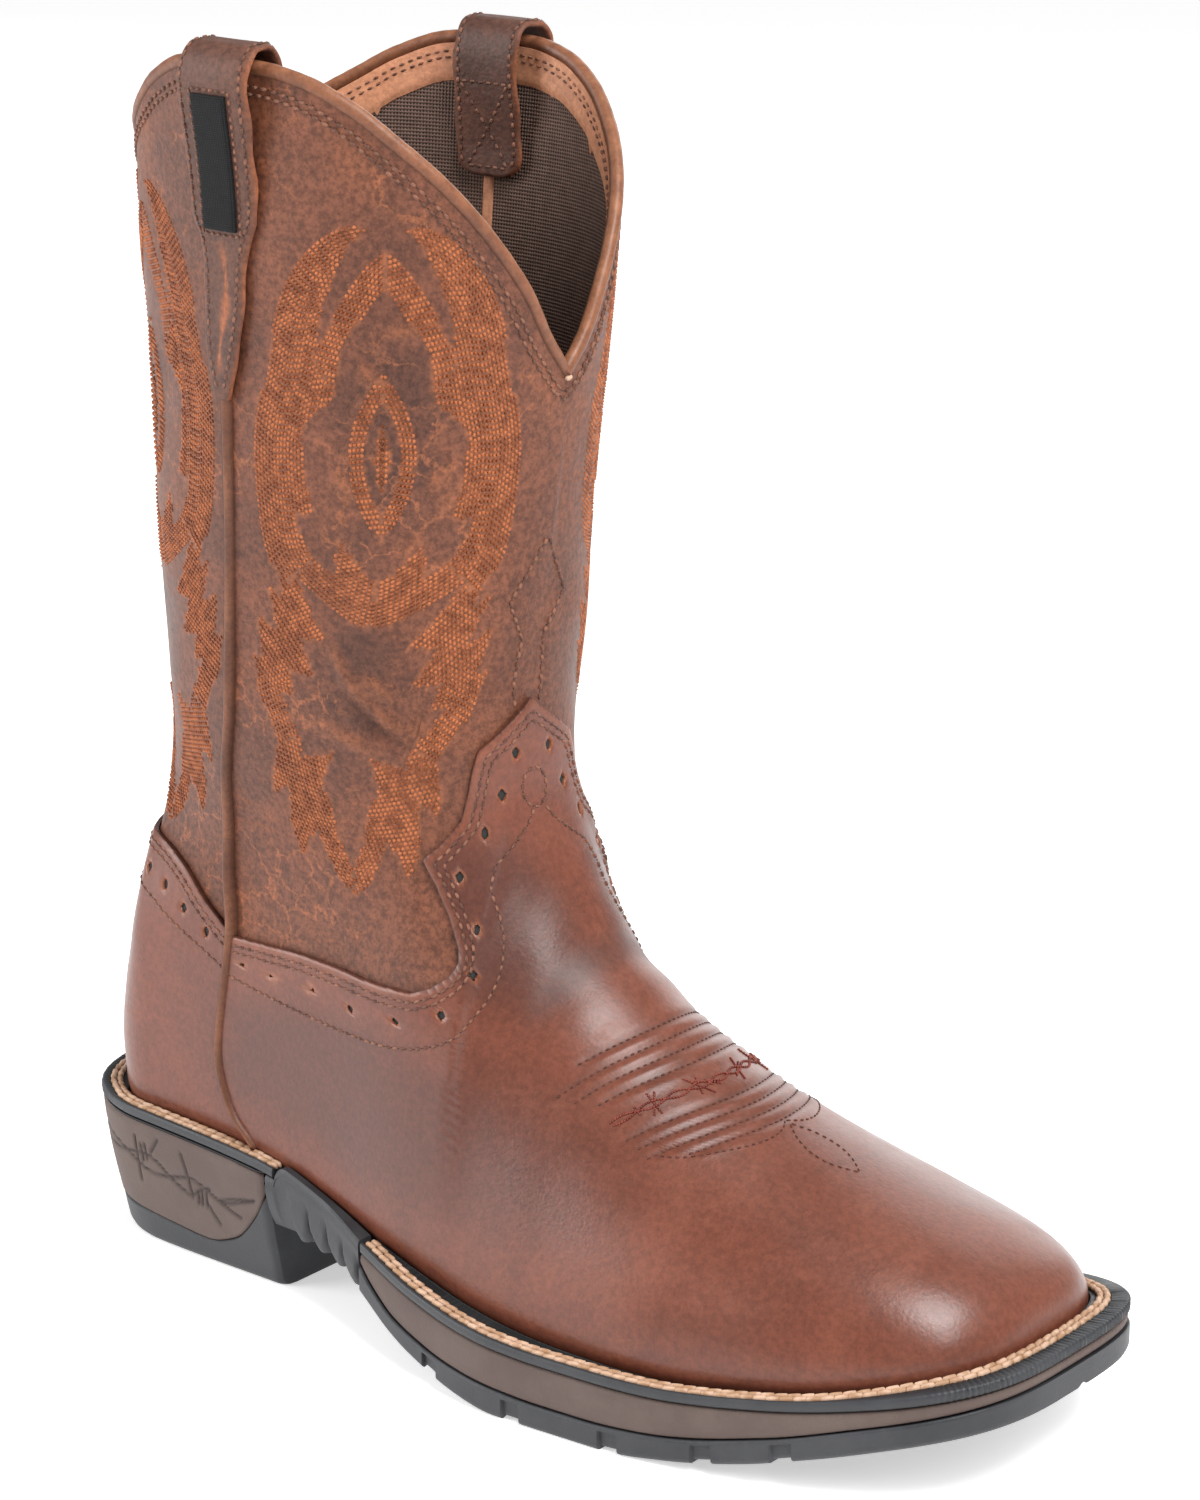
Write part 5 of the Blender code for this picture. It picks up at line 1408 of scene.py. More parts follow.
wire = {"half": 29.0, "twist": 12.0, "swing": 0.85, "pitch": 0.75, "gap": -0.35, "lean": 0.30, "barbLean": 0.25,
    "radius": 0.27,
    # side distance, lean and reach of each barb, then the lean and size of its second strand
    "second": (-1.1, 0.55),
    "barbs": ((-24.0, 0.9, 2.4), (-20.5, -0.2, 3.0), (-9.5, 0.5, 3.8), (-6.8, 1.3, 2.2), (4.5, -0.4, 3.4),
        (15.0, 0.7, 3.2), (18.0, -0.5, 2.6))}
wireThreads = []
y = np.linspace(-wire["half"], wire["half"], 260)
for phase in (0.0, np.pi):
    swing = wire["swing"] * np.sin(2 * np.pi * y / wire["twist"] + phase)
    path, out = onToe(toeRows["wireStation"] - toeRows["bow"] * y * y + swing, y)
    wireThreads.append(stitches(path, out, wire["pitch"], wire["gap"], wire["lean"]))
for place, lean, reach in wire["barbs"]:
    for tilt, size in ((lean, reach), (lean + wire["second"][0], wire["second"][1] * reach)):
        away = np.linspace(-1, 1, 40) * size
        x = toeRows["wireStation"] - toeRows["bow"] * place**2 + away
        path, out = onToe(x, place + away * tilt)
        wireThreads.append(stitches(path, out, wire["pitch"], wire["gap"], wire["barbLean"]))
threadPiece("toeWire", wireThreads, wire["radius"], finishes["wireThread"], "foot_leather", rings=2, sides=4)
print("toe stitching made")

# Flame embroidery: outlines filled with rows of stitches beside a guide line; one half, mirrored about its axis.
flames = {
    "shapes": ("band", "arch", "base", "flame", "leg", "ring", "drop"),
    # share of the axis at each height, on the front panel
    "axis": ((110, 0.615), (137, 0.583), (152, 0.578), (178, 0.555), (205, 0.522), (242, 0.528), (295, 0.532)),
    "backAxis": 1.50, "backRise": 3.0, "row": 0.98, "pitch": 1.45, "gap": 0.10, "radius": 0.50, "apart": 0.78,
    "ground": 0.65,
    # outline and guide of each shape: distance from the axis, height
    "band": (
        (
            (4.0, 284.9), (7.0, 285.7), (10.7, 284.9), (14.1, 283.1), (17.9, 280.5), (21.3, 277.1), (24.2, 272.7),
            (26.4, 268.4), (28.2, 263.1), (29.2, 257.9), (30.2, 252.7), (30.7, 247.5), (31.0, 244.9), (33.2, 243.2),
            (33.9, 239.7), (34.1, 234.5), (34.2, 228.4), (34.0, 223.2), (33.4, 217.9), (32.7, 211.9), (31.7, 207.5),
            (29.5, 200.6), (26.7, 197.1), (24.9, 193.6), (21.4, 197.9), (16.6, 202.3), (18.5, 204.9), (20.9, 209.2),
            (22.1, 213.6), (16.7, 213.6), (17.9, 217.1), (19.1, 221.4), (19.9, 224.9), (20.4, 229.2), (20.5, 234.5),
            (19.1, 237.1), (16.2, 239.7), (13.3, 242.3), (11.9, 244.0), (18.0, 253.6), (17.7, 255.3), (16.7, 258.8),
            (16.0, 264.0), (15.0, 267.5), (13.1, 271.0), (11.7, 275.3), (10.3, 277.9), (9.2, 280.5), (6.6, 283.1),
        ),
        (
            (4.0, 285.7), (10.7, 284.9), (17.9, 280.5), (24.2, 272.7), (28.2, 263.1), (30.2, 252.7), (32.1, 244.0),
            (34.1, 234.5), (34.2, 227.5), (33.4, 217.9), (31.7, 207.5), (29.5, 200.6), (26.1, 196.2), (22.5, 191.0),
        ),
    ),
    "arch": (
        (
            (0.0, 279.4), (3.2, 277.1), (6.8, 272.7), (9.4, 269.2), (12.3, 264.0), (14.1, 260.5), (16.2, 257.1),
            (18.0, 253.6), (11.9, 244.0), (11.6, 248.4), (11.3, 252.7), (10.7, 256.2), (8.5, 259.7), (6.4, 262.3),
            (4.6, 264.9), (2.4, 268.4), (0.3, 270.1), (0.0, 271.0),
        ),
        (
            (-0.8, 279.7), (3.2, 277.1), (6.8, 272.7), (12.3, 264.0), (16.2, 257.1), (18.0, 253.6), (18.6, 247.5),
            (17.7, 241.4),
        ),
    ),
    "base": (
        (
            (21.4, 197.9), (16.5, 194.5), (13.5, 191.9), (10.0, 190.1), (6.3, 187.5), (3.1, 186.6), (0.0, 185.9),
            (0.0, 198.0), (2.5, 198.8), (4.6, 201.4), (6.6, 203.2), (8.3, 204.9), (10.2, 209.2), (11.5, 203.2),
            (11.4, 198.8), (13.3, 199.7), (16.6, 202.3),
        ),
        ((26.4, 203.2), (21.4, 197.9), (16.5, 194.5), (10.0, 190.1), (3.1, 186.6), (-3.3, 184.9)),
    ),
    "flame": (
        (
            (24.9, 193.6), (25.6, 191.9), (28.8, 193.6), (28.1, 190.1), (26.4, 185.8), (25.3, 182.3), (31.5, 185.8),
            (30.3, 180.6), (29.4, 176.2), (28.8, 173.6), (32.1, 175.3), (30.9, 171.0), (29.8, 165.8), (28.0, 162.3),
            (25.8, 158.8), (23.9, 155.3), (22.3, 151.9), (15.3, 154.5), (18.2, 158.8), (20.0, 162.3), (21.6, 164.9),
            (18.2, 165.8), (19.5, 168.4), (20.2, 171.9), (12.5, 171.0), (15.3, 176.2), (17.7, 180.6), (10.5, 181.4),
            (13.6, 185.8), (17.0, 190.1), (19.3, 194.5), (21.4, 197.9),
        ),
        (
            (24.3, 199.7), (26.4, 187.5), (29.2, 177.1), (30.1, 167.5), (28.0, 162.3), (23.9, 155.3), (22.3, 151.9),
            (23.4, 141.2),
        ),
    ),
    "leg": (
        (
            (22.3, 151.9), (22.9, 147.8), (23.7, 142.6), (23.9, 139.7), (23.1, 137.5), (20.5, 139.6), (18.8, 140.3),
            (18.5, 136.6), (19.2, 130.7), (18.4, 126.2), (16.8, 121.7), (13.5, 126.7), (10.2, 129.6), (9.2, 126.5),
            (7.4, 121.9), (4.7, 118.7), (2.0, 116.2), (0.0, 115.0), (0.0, 122.5), (1.6, 124.7), (3.6, 128.6),
            (4.5, 134.0), (5.4, 139.3), (7.7, 141.6), (6.9, 146.2), (5.6, 150.0), (4.2, 152.7), (9.0, 151.0),
            (14.2, 150.0), (15.3, 154.5),
        ),
        ((24.5, 158.0), (22.1, 152.7), (18.3, 139.6), (13.2, 127.5), (7.4, 121.9), (2.0, 116.2), (0.1, 113.8)),
    ),
    "ring": (
        (
            (0.0, 250.0), (3.2, 245.5), (6.6, 238.5), (8.2, 230.5), (7.4, 222.5), (4.6, 215.0), (0.0, 207.5),
            (0.0, 215.0), (2.6, 219.5), (4.3, 226.0), (4.5, 232.0), (3.0, 238.0), (0.0, 243.4),
        ),
        ((0.0, 250.0), (3.2, 245.5), (6.6, 238.5), (8.2, 230.5), (7.4, 222.5), (4.6, 215.0), (0.0, 207.5)),
    ),
    "drop": (((0.0, 238.0), (1.5, 233.5), (2.1, 229.0), (1.4, 224.0), (0.0, 220.0)),
        ((0.0, 238.0), (0.0, 228.0), (0.0, 219.0))),
}


# Stitches of one half: lanes at fixed offsets from each guide, laid in brick order, kept where they lie inside the
# outline and clear of what is already laid.
def flameHalf():
    laid, starts, ends = np.zeros((0, 2)), [], []
    for key in flames["shapes"]:
        outline, line = np.array(flames[key][0]), rounded(flames[key][1])
        line = atRun(line, np.arange(0, runOf(line)[-1], 0.3))
        ahead = unit(np.gradient(line, axis=0))
        aside = np.stack([-ahead[:, 1], ahead[:, 0]], -1)
        reach = math.ceil(np.ptp(outline[:, 0]) / flames["row"]) + 3
        for lane in range(-reach, reach + 1):
            path = line + aside * lane * flames["row"]
            path = path[(np.gradient(path, axis=0) * ahead).sum(1) > 0.02]
            if len(path) < 8:
                continue
            run = runOf(path)
            first = np.arange((lane % 2) * 0.5 * flames["pitch"], run[-1] - flames["pitch"], flames["pitch"])
            a, b = atRun(path, first + flames["gap"] / 2), atRun(path, first + flames["pitch"] - flames["gap"] / 2)
            middle = (a + b) / 2
            keep = within(0.7 * a + 0.3 * b, outline) & within(0.3 * a + 0.7 * b, outline) & (middle[:, 0] > -0.1)
            keep &= np.linalg.norm(b - a, axis=1) < flames["pitch"] * 1.2
            if len(laid):
                keep &= np.linalg.norm(middle[:, None] - laid[None], axis=2).min(1) > flames["apart"]
            laid = np.concatenate([laid, middle[keep]])
            starts.append(a[keep])
            ends.append(b[keep])
    return np.concatenate(starts), np.concatenate(ends)


flameStart, flameEnd = flameHalf()
print("stitches in half a motif:", len(flameStart))


# Ground of the embroidery: points of the shaft's skin whose distance from an axis and height lie inside an outline.
def flameGround():
    share = np.broadcast_to(shareOf(shaftTurn)[None], shaftZ.shape)
    found = np.zeros(shaftZ.size, bool)
    for back in (False, True):
        z = shaftZ - back * flames["backRise"]
        axis = flames["backAxis"] if back else curve(flames["axis"], z)
        away = np.abs(share - axis) * seamArc(-1, legLevel(-1, shaftZ), back)
        for key in flames["shapes"]:
            found |= within(np.stack([away.ravel(), z.ravel()], -1), np.array(flames[key][0]))
    return found.reshape(shaftZ.shape)


ground = np.maximum(shaftWearAndSheen, flames["ground"] * flameGround())
shaftSkin.data.attributes["wearAndSheen"].data.foreach_set("value", np.tile(ground.ravel(), 2).astype(np.float32))


# The motif on a panel: distance from the axis becomes arc length on the leg, then the skin's own place.
def flameOnPanel(side, back):
    groups = []
    for flank in (-1, 1):
        ends = []
        for points in (flameStart, flameEnd):
            z = points[:, 1] + back * flames["backRise"]
            axis = flames["backAxis"] if back else curve(flames["axis"], z)
            share = axis + flank * points[:, 0] / seamArc(side, legLevel(side, z), back)
            turn = share if side < 0 else -share
            place, out = onBody(turn, levelAt(turn, z))
            ends.append((place + out * shaftLift(turn, z)[:, None], out))
        groups.append((ends[0][0], ends[1][0], unit(ends[0][1] + ends[1][1])))
    return groups


for side, word in sideWords:
    for back in (False, True):
        threadPiece("flame" + ("Back" if back else "Front") + word, flameOnPanel(side, back), flames["radius"],
            finishes["flame"], "shaft_leather", rise=0.0, sink=0.45, rings=2 if side < 0 else 1)
print("embroidery made")

# Sole: the same outline and heights as the solids.
sole = {
    "bottom": (
        (85, 19.0), (95, 19.0), (108, 18.0), (116, 16.6), (122, 14.5), (135, 9.0), (150, 4.4), (162, 1.7),
        (176, 0.0), (208, 0.0), (225, 1.5), (245, 5.2), (262, 9.8), (280, 15.0), (303, 20.8),
    ),
    "midsole": (
        (121, 1.6), (128, 6.0), (138, 8.9), (160, 10.0), (200, 10.0), (225, 9.0), (250, 6.8), (275, 4.2),
        (303, 2.6),
    ),
    "plan": (
        (20, 35.0, 35.0), (50, 37.0, 36.5), (85, 38.0, 35.5), (105, 40.0, 36.0), (125, 46.0, 38.5),
        (145, 52.0, 43.0), (175, 57.0, 50.0), (205, 56.5, 54.0), (235, 53.0, 54.5), (260, 48.5, 53.0),
        (303, 43.0, 49.0),
    ),
    "toe": 302.0, "heel": 6.0, "power": {-1: 3.0, 1: 3.8}, "gap": 0.3, "welt": 2.9,
    "flangeStart": 88.0, "flangeEnd": 122.5, "flange": ((86, 4.8), (100, 4.4), (112, 3.7), (123, 3.1)),
    "breast": 84.0,
    "notches": (153.0, 181.0, 210.0, 235.0, 255.0), "notchHalf": 2.6, "notchDepth": 1.0, "notchTop": 0.78,
    "groove": 0.7,
    "treadPitch": 13.0, "treadSlant": 0.22, "treadCut": 1.3,
    "lobeStart": 92.5, "lobePitch": 7.2, "lobeCount": 4, "lobeRise": 3.0, "lobeLean": 3.4, "lobeHang": 2.2,
    "panelLow": ((0, 9.0), (30, 9.0), (45, 8.0), (58, 7.0), (68, 10.0), (78, 19.5), (84, 29.0)), "panelThick": 2.6,
}


# Half width of the sole, closed by superellipses at toe and heel.
def soleHalf(x, side, inset=0.0):
    power = sole["power"][side]
    toe = np.clip((x - last["toeStart"]) / (sole["toe"] - inset - last["toeStart"]), 0.0, 1.0)
    heel = np.clip((last["heelRound"] - x) / (last["heelRound"] - sole["heel"] - inset), 0.0, 1.0)
    width = curve(sole["plan"], x, 1 if side < 0 else 2) - inset
    return width * (1 - toe**power) ** (1 / power) * (1 - heel ** last["heelPower"]) ** (1 / last["heelPower"])


def soleEdge(x, side, inset=0.0):
    return shift(x) + side * soleHalf(x, side, inset)


def soleBottom(x):
    return curve(sole["bottom"], x)


def midTop(x):
    return seat(x) - sole["gap"]


def midLow(x):
    return midTop(x) - curve(sole["midsole"], x)


# Outline from the lateral start round the toe or heel to the medial start, even in arc length.
def outlineRun(start, inset, count, toe):
    turn = np.linspace(0.0, np.pi / 2, 900)
    far = sole["toe"] - inset if toe else sole["heel"] + inset
    x = start + (far - start) * np.sin(turn)
    sides = [np.stack([x, soleEdge(x, side, inset)], -1) for side in (-1, 1)]
    path = np.concatenate([sides[0], sides[1][::-1][1:]])
    return atRun(path, np.linspace(0.0, runOf(path)[-1], count))


# Unit directions in plan from an outline run towards its inside.
def inwardOf(path):
    along = np.gradient(path, axis=0)
    inward = unit(np.stack([along[:, 1], -along[:, 0]], -1))
    return inward * np.sign(((path.mean(0) - path) * inward).sum(1).mean())


# Midsole band: a section with rounded corners carried round the outline, its ends let into the arch.
midsole = {"stations": 520, "inset": 0.6, "deep": 9.0, "corner": 0.7}
path = outlineRun(sole["flangeEnd"] + 0.8, midsole["inset"], midsole["stations"], True)
inward = inwardOf(path)
low, high = midLow(path[:, 0]), midTop(path[:, 0])
corner = np.minimum(midsole["corner"], (high - low) * 0.3)
profile = [(midsole["deep"], low), (corner, low), (0.3 * corner, low + 0.3 * corner), (0.0, low + corner),
    (-0.15 + 0 * low, (low + high) / 2), (0.0, high - corner), (0.3 * corner, high - 0.3 * corner), (corner, high),
    (midsole["deep"], high)]
deeper = lambda deep: path + inward * np.broadcast_to(deep, low.shape)[:, None]
sections = np.stack([np.column_stack([deeper(deep), z]) for deep, z in profile], 1)
sweepPiece("midsoleBand", sections, finishes["midsole"], slot="midsole_rubber", stands=("midsole",), sharp=0.9)

# Welt strips: a lip round the upper with a ribbed outer edge and a stitched channel.
welt = {"rib": 0.30, "ribPitch": 1.5, "lip": 1.15, "toeLip": 3.2, "heelLip": 0.9, "rows": (0.95, 2.7), "pitch": 3.4,
    "gap": -0.9, "lean": 0.30, "radius": 0.80}


# Section of a welt: inner foot, outer foot, ribbed edge, rounded lip, stitch channel, inner top.
def weltStrip(name, path, node):
    inward = inwardOf(path)
    height = seat(path[:, 0])
    run = runOf(path)
    inner, ringTurn = [], np.linspace(0, 4, 1400)[:-1]
    for rise in (0.0, sole["welt"] + 0.3):
        ringPoints = onBody(ringTurn, levelAt(ringTurn, seat(onBody(ringTurn, 0 * ringTurn)[0][:, 0]) + rise))[0]
        gaps = np.linalg.norm(path[:, None] - ringPoints[None, :, :2], axis=2)
        inner.append(ringPoints[gaps.argmin(1)][:, :2])
    wide = np.linalg.norm(path - inner[1], axis=1)
    outward = unit(path - inner[1])
    ends = ease((path[:, 0] - 284.0) / 10.0) + ease((30.0 - path[:, 0]) / 12.0)  # ribs at the toe and the heel's back
    rib = welt["rib"] * ends * np.sin(2 * np.pi * run / welt["ribPitch"])
    grown = welt["toeLip"] * ease((path[:, 0] - 258.0) / 34.0) + welt["heelLip"] * ease((42.0 - path[:, 0]) / 26.0)
    lip = np.minimum(welt["lip"] + grown, np.maximum(wide * 0.25, wide - 4.2))
    place = lambda away, z: np.column_stack([inner[1] + outward * away[:, None], z])
    top = height + sole["welt"]
    rows = [
        np.column_stack([inner[0] + outward * 0.5, height]), place(wide - 0.5, height + 0.05),
        place(wide + rib, height + 0.55),
        place(wide + 1.0 * rib, top - 0.75), place(wide - 0.2 + 0.6 * rib, top - 0.25),
        place(wide - 0.6, top - 0.05 + 0.5 * rib),
        place(wide - lip, top - 0.25 + 0.5 * rib), place(wide - lip - 0.3, top - 0.95),
        place(0 * wide + 0.7, top - 0.95), place(0 * wide + 0.4, top - 0.6),
    ]
    sections = np.stack(rows, 1)
    wearAndSheen = np.zeros(sections.shape[:2])
    wearAndSheen[:, 2:7] = (0.04 + 0.30 * np.clip(rib, 0, 1) / welt["rib"])[:, None]
    # Painted shade at the welt's foot and in the stitch channel.
    shade = np.zeros(sections.shape[:2])
    shade[:, :2], shade[:, 6:] = 0.8, 0.9
    sweepPiece(name, sections, finishes["outsole"], slot="outsole_rubber", stands=(node,), sharp=0.9,
        facts={"wearAndSheen": wearAndSheen, "paintedShade": shade})
    made = []
    for away in welt["rows"]:
        spot = place(np.maximum(wide - lip - away, 0.6), top - 0.62)
        made.append(stitches(spot, np.repeat([[0.0, 0.0, 1.0]], len(spot), 0), welt["pitch"], welt["gap"],
            welt["lean"]))
    return made


weltThreads = weltStrip("weltFore", outlineRun(sole["flangeEnd"] + 1.0, 0.2, 900, True), "welt_fore")
weltThreads += weltStrip("weltHeel", outlineRun(sole["flangeStart"] - 1.0, 0.2, 460, False), "welt_heel")
threadPiece("weltStitches", weltThreads, welt["radius"], finishes["weltThread"], "outsole_rubber", rings=4, sides=8,
    rise=0.40, sink=0.2)
print("midsole and welt made")

# Outsole: arch with its raised flange and lobes, then the tread with notched lugs; sections across the boot.
marks = np.concatenate([steps((sole["breast"] + 0.3, 124.0, 110), (124.0, 262.0, 200)),
    262 + (sole["toe"] - 0.05 - 262) * np.sin(np.linspace(0, np.pi / 2, 70)) ** 0.9])
notchMarks = (np.array(sole["notches"])[:, None] + np.array([-1, 1])[None] * sole["notchHalf"]).ravel()
fixedMarks = np.concatenate([notchMarks - 0.2, notchMarks + 0.2,
    [sole["flangeStart"] - 0.5, sole["flangeStart"], sole["flangeEnd"], sole["flangeEnd"] + 0.5]])
marks = marks[np.abs(marks[:, None] - fixedMarks).min(1) > 0.3]
marks = np.unique(np.concatenate([marks, fixedMarks]))
notched = (np.abs(marks[:, None] - np.array(sole["notches"])) < sole["notchHalf"]).any(1)
flanged = (marks > sole["flangeStart"] - 0.01) & (marks < sole["flangeEnd"] + 0.01)
inArch = marks < sole["flangeEnd"] + 0.1
cover = np.where(inArch, midTop(marks), midLow(marks) - sole["gap"])
base = soleBottom(marks)
endRound = np.sqrt(1 - np.square(1 - np.clip((marks - sole["flangeStart"] + 0.5) / 4.5, 0, 1)))
lip = cover + np.where(flanged, curve(sole["flange"], marks) * endRound, 0.0)
groove = np.where(notched, sole["groove"], 0.0)
low = base + groove
upShare = np.array([0.0, 0.04, 0.10, 0.18, 0.27, 0.37, 0.48, 0.60, 0.72, 0.81, 0.86, 0.90, 0.96, 1.0])
sides = {}
for side in (-1, 1):
    edge = soleEdge(marks, side)
    reach = np.abs(edge - shift(marks))
    wall = halfWidth(marks, seat(marks) + sole["welt"] + sole["gap"], side) + 0.7
    innerEdge = shift(marks) + side * np.where(flanged, wall, 0.9 * reach)
    sides[side] = []
    for v in upShare:
        # arch: drawn in below, draped lobes that fade upward, a rim line; tread: rounded at both edges, notched below
        turn = (marks - sole["lobeStart"] - sole["lobeLean"] * (0.45 - v)) / sole["lobePitch"]
        inLobe = (turn > 0) & (turn < sole["lobeCount"])
        fold = np.where(inLobe, np.abs(np.sin(np.pi * turn)) ** 0.5, 0.0)
        drawn = 4.0 * (1 - v) ** 2 - sole["lobeRise"] * fold * ease((0.66 - v) / 0.40)
        drawn = drawn + 0.35 * bell((v - 0.86) / 0.04) + 0.8 * ease((v - 0.93) / 0.07)
        plain = 1.1 * np.clip(1 - v / 0.2, 0, 1) ** 2 + 0.5 * np.clip((v - 0.88) / 0.12, 0, 1) ** 2
        plain = plain + sole["notchDepth"] * notched * (v < sole["notchTop"])
        inset = np.minimum(np.where(inArch, np.maximum(drawn, 0.0), plain), 0.25 * reach)
        hang = np.where(inLobe, sole["lobeHang"] * (1 - fold), 0.0) * (1 - v) ** 2
        sides[side].append((edge - side * inset, low + v * (lip - low) + hang))
    sides[side] += [(innerEdge + side * np.where(flanged, 0.3, 0.0), lip),
        (innerEdge, np.where(flanged, lip - 0.6, cover)), (innerEdge, cover)]
ends = {side: [np.stack([marks, y, z], -1) for y, z in sides[side]] for side in (-1, 1)}
treadShare = np.linspace(0, 1, 30)[1:-1]
treadY = ends[-1][0][:, None, 1] * (1 - treadShare) + ends[1][0][:, None, 1] * treadShare
slanted = marks[:, None] + sole["treadSlant"] * np.abs(treadY)
chevron = np.abs(np.mod(slanted, sole["treadPitch"]) - sole["treadPitch"] / 2)
cut = np.clip((2.0 - chevron) / 0.8, 0, 1) * ease((np.abs(treadY) - 8.0) / 3.0) * (~inArch)[:, None]
cut = cut * ease((ends[1][0][:, 1:2] - treadY) / 3 - 0.3) * ease((treadY - ends[-1][0][:, 1:2]) / 3 - 0.3)
tread = np.stack([np.repeat(marks[:, None], len(treadShare), 1), treadY, low[:, None] + sole["treadCut"] * cut], -1)
sections = np.concatenate([np.stack(ends[-1][::-1], 1), tread, np.stack(ends[1], 1)], 1)
sweepPiece("outsoleTread", sections, finishes["outsole"], slot="outsole_rubber", stands=("outsole",), sharp=0.55)
print("outsole made")

# Heel: rows of the outline, drawn in towards the floor, with a recess that takes the side panel.
heel = {"columns": 260, "draw": 6.0, "top": 0.4, "corner": 3.2}


# A row of the heel's wall: the outline moved inward by 0.4 + 6(1 - z / seat)^1.1, a further depth, and a quarter round
# at the front corners.
def heelWall(height, deeper):
    plain = outlineRun(sole["breast"], 0.0, heel["columns"], False)
    z = height(plain[:, 0])
    inset = heel["top"] + heel["draw"] * (1 - np.clip(z / seat(plain[:, 0]), 0.0, 1.0)) ** 1.1 + deeper
    over = np.clip(heel["corner"] - (sole["breast"] - plain[:, 0]), 0.0, heel["corner"])
    inset = inset + heel["corner"] - np.sqrt(heel["corner"] ** 2 - over**2)
    inward = inwardOf(plain)
    inward[0], inward[-1] = (0.0, 1.0), (0.0, -1.0)
    moved = plain + inward * inset[:, None]
    moved[:, 0] = np.minimum(moved[:, 0], sole["breast"])
    return np.column_stack([moved, z])


panelLow = lambda x: curve(sole["panelLow"], x)
panelTop = lambda x: seat(x) - 0.7
thick = sole["panelThick"] + sole["gap"]
rows = [
    (lambda x: 0 * x, 2.2), (lambda x: 0 * x + 0.25, 1.1), (lambda x: 0 * x + 0.9, 0.45),
    (lambda x: 0 * x + 2.0, 0.1), (lambda x: 0.5 * panelLow(x) + 0.9, 0.0),
    (lambda x: panelLow(x) - 0.4, 0.0), (lambda x: panelLow(x), 0.4), (panelLow, thick), (panelTop, thick),
    (panelTop, 0.3), (lambda x: panelTop(x) + 0.2, 0.0), (midTop, 0.0),
]
sweepPiece("heelBlock", np.array([heelWall(h, d) for h, d in rows]), finishes["outsole"], slot="outsole_rubber",
    stands=("heel",), sharp=0.6)

# Side panel of the heel with a carved twisted wire and barbs, with painted shade in the carved grooves.
carving = {
    "columns": 420, "rows": 38, "deep": 0.55, "wide": 0.45, "reach": 2.0,
    # strokes of one half: run from the breast, height over the panel's middle; the other half is its mirror
    "strokes": (
        (
            (98.5, 1.0), (90, -1.6), (82, 0.5), (76, 4.0), (71, 6.0), (63, 4.6), (54.6, 2.9), (50, 0.6),
            (45.6, -1.1), (40, -0.6), (34.4, 1.2), (29.8, 2.7), (25.6, 1.7), (21.4, -1.1), (17.6, -3.5),
            (12.2, -7.2),
        ),
        (
            (98.5, 1.0), (90, 5.0), (82, 5.6), (76, 4.0), (70, 2.4), (62, 1.4), (54.6, 2.5), (49.5, 3.6),
            (44.7, 3.9), (41, 2.6), (37.7, -0.2), (34, -1.6), (30.7, -2.9), (27.5, -1.0), (25.6, 0.8), (22.8, 1.2),
        ),
        ((40.8, 9.8), (44.2, 5.0)),
        ((49.9, 8.2), (49.7, -4.7)),
        ((48.0, 6.4), (47.6, 1.6)),
        ((46.4, 7.0), (46.0, 2.6)),
        ((32.3, 8.9), (30.7, 3.6), (29.8, -3.2)),
        ((24.2, -3.8), (22.8, -6.4), (20.9, -9.3)),
        ((27.5, -0.4), (27.9, -4.5)),
        ((26.1, -0.4), (26.5, -4.5)),
        ((24.4, 0.0), (24.8, -4.5)),
        ((19.9, -1.9), (13.7, -1.1), (5.3, -3.7)),
        ((19.0, -2.8), (12.2, -2.5), (5.3, -3.9)),
        ((75.0, 10.5), (76.5, -2.5)),
        ((77.2, 7.5), (77.6, 1.5)),
        ((79.0, 7.0), (81.0, -5.0)),
    ),
}
heel["columns"] = carving["columns"]
rise = np.linspace(0, 1, carving["rows"])
panelRows = []
for r in rise:
    panelRows.append(heelWall(lambda x: (panelLow(x) + 0.3) * (1 - r) + (panelTop(x) - 0.3) * r,
        -0.2 - 0.4 * np.sin(np.pi * r)))
panelGrid = np.array(panelRows)[:, 2:-2]
run = runOf(panelGrid[carving["rows"] // 2])
centre = 0.52 * (panelGrid[0, :, 2] + panelGrid[-1, :, 2])
up = panelGrid[..., 2] - centre[None]
groove = np.zeros(up.shape)
for rows in carving["strokes"]:
    rows = rounded(rows) if len(rows) > 2 else np.array(rows, float)
    for reverse in (False, True):
        along = run[-1] - run if reverse else run
        for a, b in zip(rows[:-1], rows[1:]):
            near = (along > min(a[0], b[0]) - carving["reach"]) & (along < max(a[0], b[0]) + carving["reach"])
            away = fromSegment(along[near][None] - a[0], up[:, near] - a[1], *(b - a))[1]
            groove[:, near] = np.maximum(groove[:, near], bell(away / carving["wide"]))
margin = np.minimum(rise, 1 - rise)[:, None] * (panelGrid[-1, :, 2] - panelGrid[0, :, 2])[None]
groove = groove * ease((margin - 0.4) / 1.0)
outline = inwardOf(panelGrid[carving["rows"] // 2][:, :2])
rim = 0.5 * np.clip(1 - margin / 0.8, 0, 1) ** 2
panelOuter = panelGrid.copy()
panelOuter[..., :2] += outline[None] * (carving["deep"] * groove + rim)[..., None]
panelInner = panelGrid.copy()
panelInner[..., :2] += outline[None] * (sole["panelThick"] + 0.3)
# Painted shade in the carved grooves.
shellPiece("heelPanel", panelOuter, panelInner, finishes["midsole"], slot="midsole_rubber", stands=("heel_panel",),
    sharp=0.9, facts={"paintedShade": 0.85 * groove})
print("heel made")

# Insole keeps its solid, with the cloth's look.
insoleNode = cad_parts["insole"]
insoleNode.data.materials.clear()
insoleNode.data.materials.append(finishes["insole"])

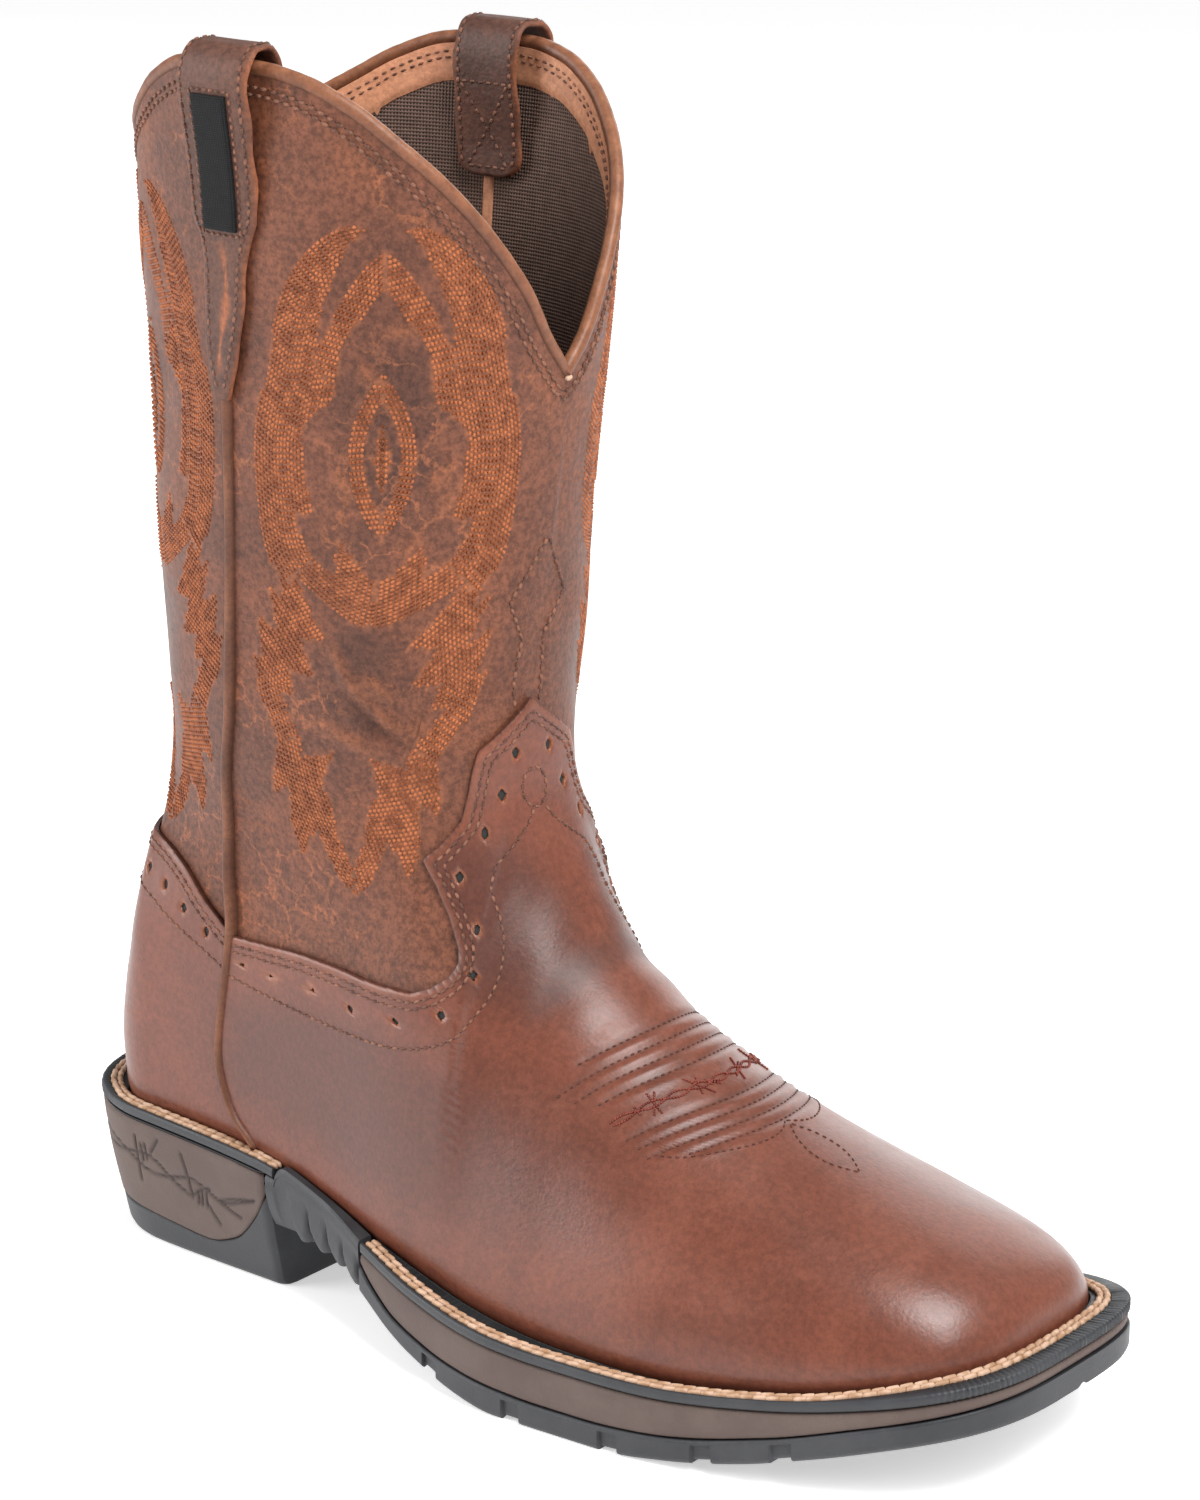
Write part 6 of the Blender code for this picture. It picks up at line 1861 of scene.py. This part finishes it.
# Floor, soft light and camera.
studio = {
    "floor": 12.0, "world": 0.39,
    "floorLook": {
        "Base Color": (0.90, 0.90, 0.90, 1), "Roughness": 0.9, "Emission Color": (1.0, 1.0, 1.0, 1),
        "Emission Strength": 0.51, "Specular IOR Level": 0.1,
    },
    "target": (161.1, 4.67, 152.2), "azimuth": 38.78, "elevation": 17.37, "roll": -0.25, "distance": 1114.2,
    "lens": 109.04,
    # name, place in metres, width and height, power
    "lamps": (
        ("topLamp", (0.79, -0.16, 1.49), (0.95, 0.95), 27.0), ("stripLamp", (1.16, -0.44, 1.14), (0.5, 1.0), 11.0),
        ("leftLamp", (-1.2, -1.05, 0.6), (1.1, 1.1), 22.0), ("backLamp", (-0.45, 1.65, 0.75), (1.5, 1.5), 13.0),
    ),
}
bpy.ops.mesh.primitive_grid_add(x_subdivisions=2, y_subdivisions=2, size=studio["floor"])
floor = bpy.context.active_object
floor.name = "studioFloor"
floorMaterial, floorTree, floorSurface = newMaterial("studioPaper")
for key, value in studio["floorLook"].items():
    floorSurface.inputs[key].default_value = value
floor.data.materials.append(floorMaterial)
floor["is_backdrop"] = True
world = bpy.data.worlds.new("studioWorld")
world.use_nodes = True
sky = world.node_tree.nodes["Background"].inputs
sky["Color"].default_value, sky["Strength"].default_value = (1.0, 1.0, 1.0, 1.0), studio["world"]
bpy.context.scene.world = world
for name, place, size, power in studio["lamps"]:
    lamp = bpy.data.lights.new(name, "AREA")
    lamp.shape, lamp.size, lamp.size_y, lamp.energy = "ELLIPSE", size[0], size[1], power
    holder = bpy.data.objects.new(name, lamp)
    holder.location = place
    holder.rotation_euler = (Vector((0.0, 0.0, 0.12)) - Vector(place)).to_track_quat("-Z", "Y").to_euler()
    bpy.context.scene.collection.objects.link(holder)
bpy.context.scene.view_settings.view_transform = "Standard"

turn, tilt = math.radians(studio["azimuth"]), math.radians(studio["elevation"])
back = Vector((math.sin(turn) * math.cos(tilt), -math.cos(turn) * math.cos(tilt), math.sin(tilt)))
target = Vector((np.array(studio["target"]) - standing) * mm)
right = Vector((math.cos(turn), math.sin(turn), 0.0))
up = back.cross(right)
lean = math.radians(studio["roll"])
right, up = right * math.cos(lean) + up * math.sin(lean), up * math.cos(lean) - right * math.sin(lean)
camera = bpy.data.objects.new("photoCamera", bpy.data.cameras.new("photoCamera"))
camera.data.lens = studio["lens"]
camera.data.sensor_width = 36.0
camera.data.clip_start, camera.data.clip_end = 0.05, 50.0
cameraTurn = Matrix((right, up, back)).transposed().to_4x4()
camera.matrix_world = Matrix.Translation(target + back * studio["distance"] * mm) @ cameraTurn
bpy.context.scene.collection.objects.link(camera)
bpy.context.scene.camera = camera

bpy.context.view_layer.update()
sizes = {o.name: len(o.data.loops) - 2 * len(o.data.polygons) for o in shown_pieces() if o.type == "MESH"}
print("triangles:", sum(sizes.values()), "largest pieces:", sorted(sizes.items(), key=lambda item: -item[1])[:9])
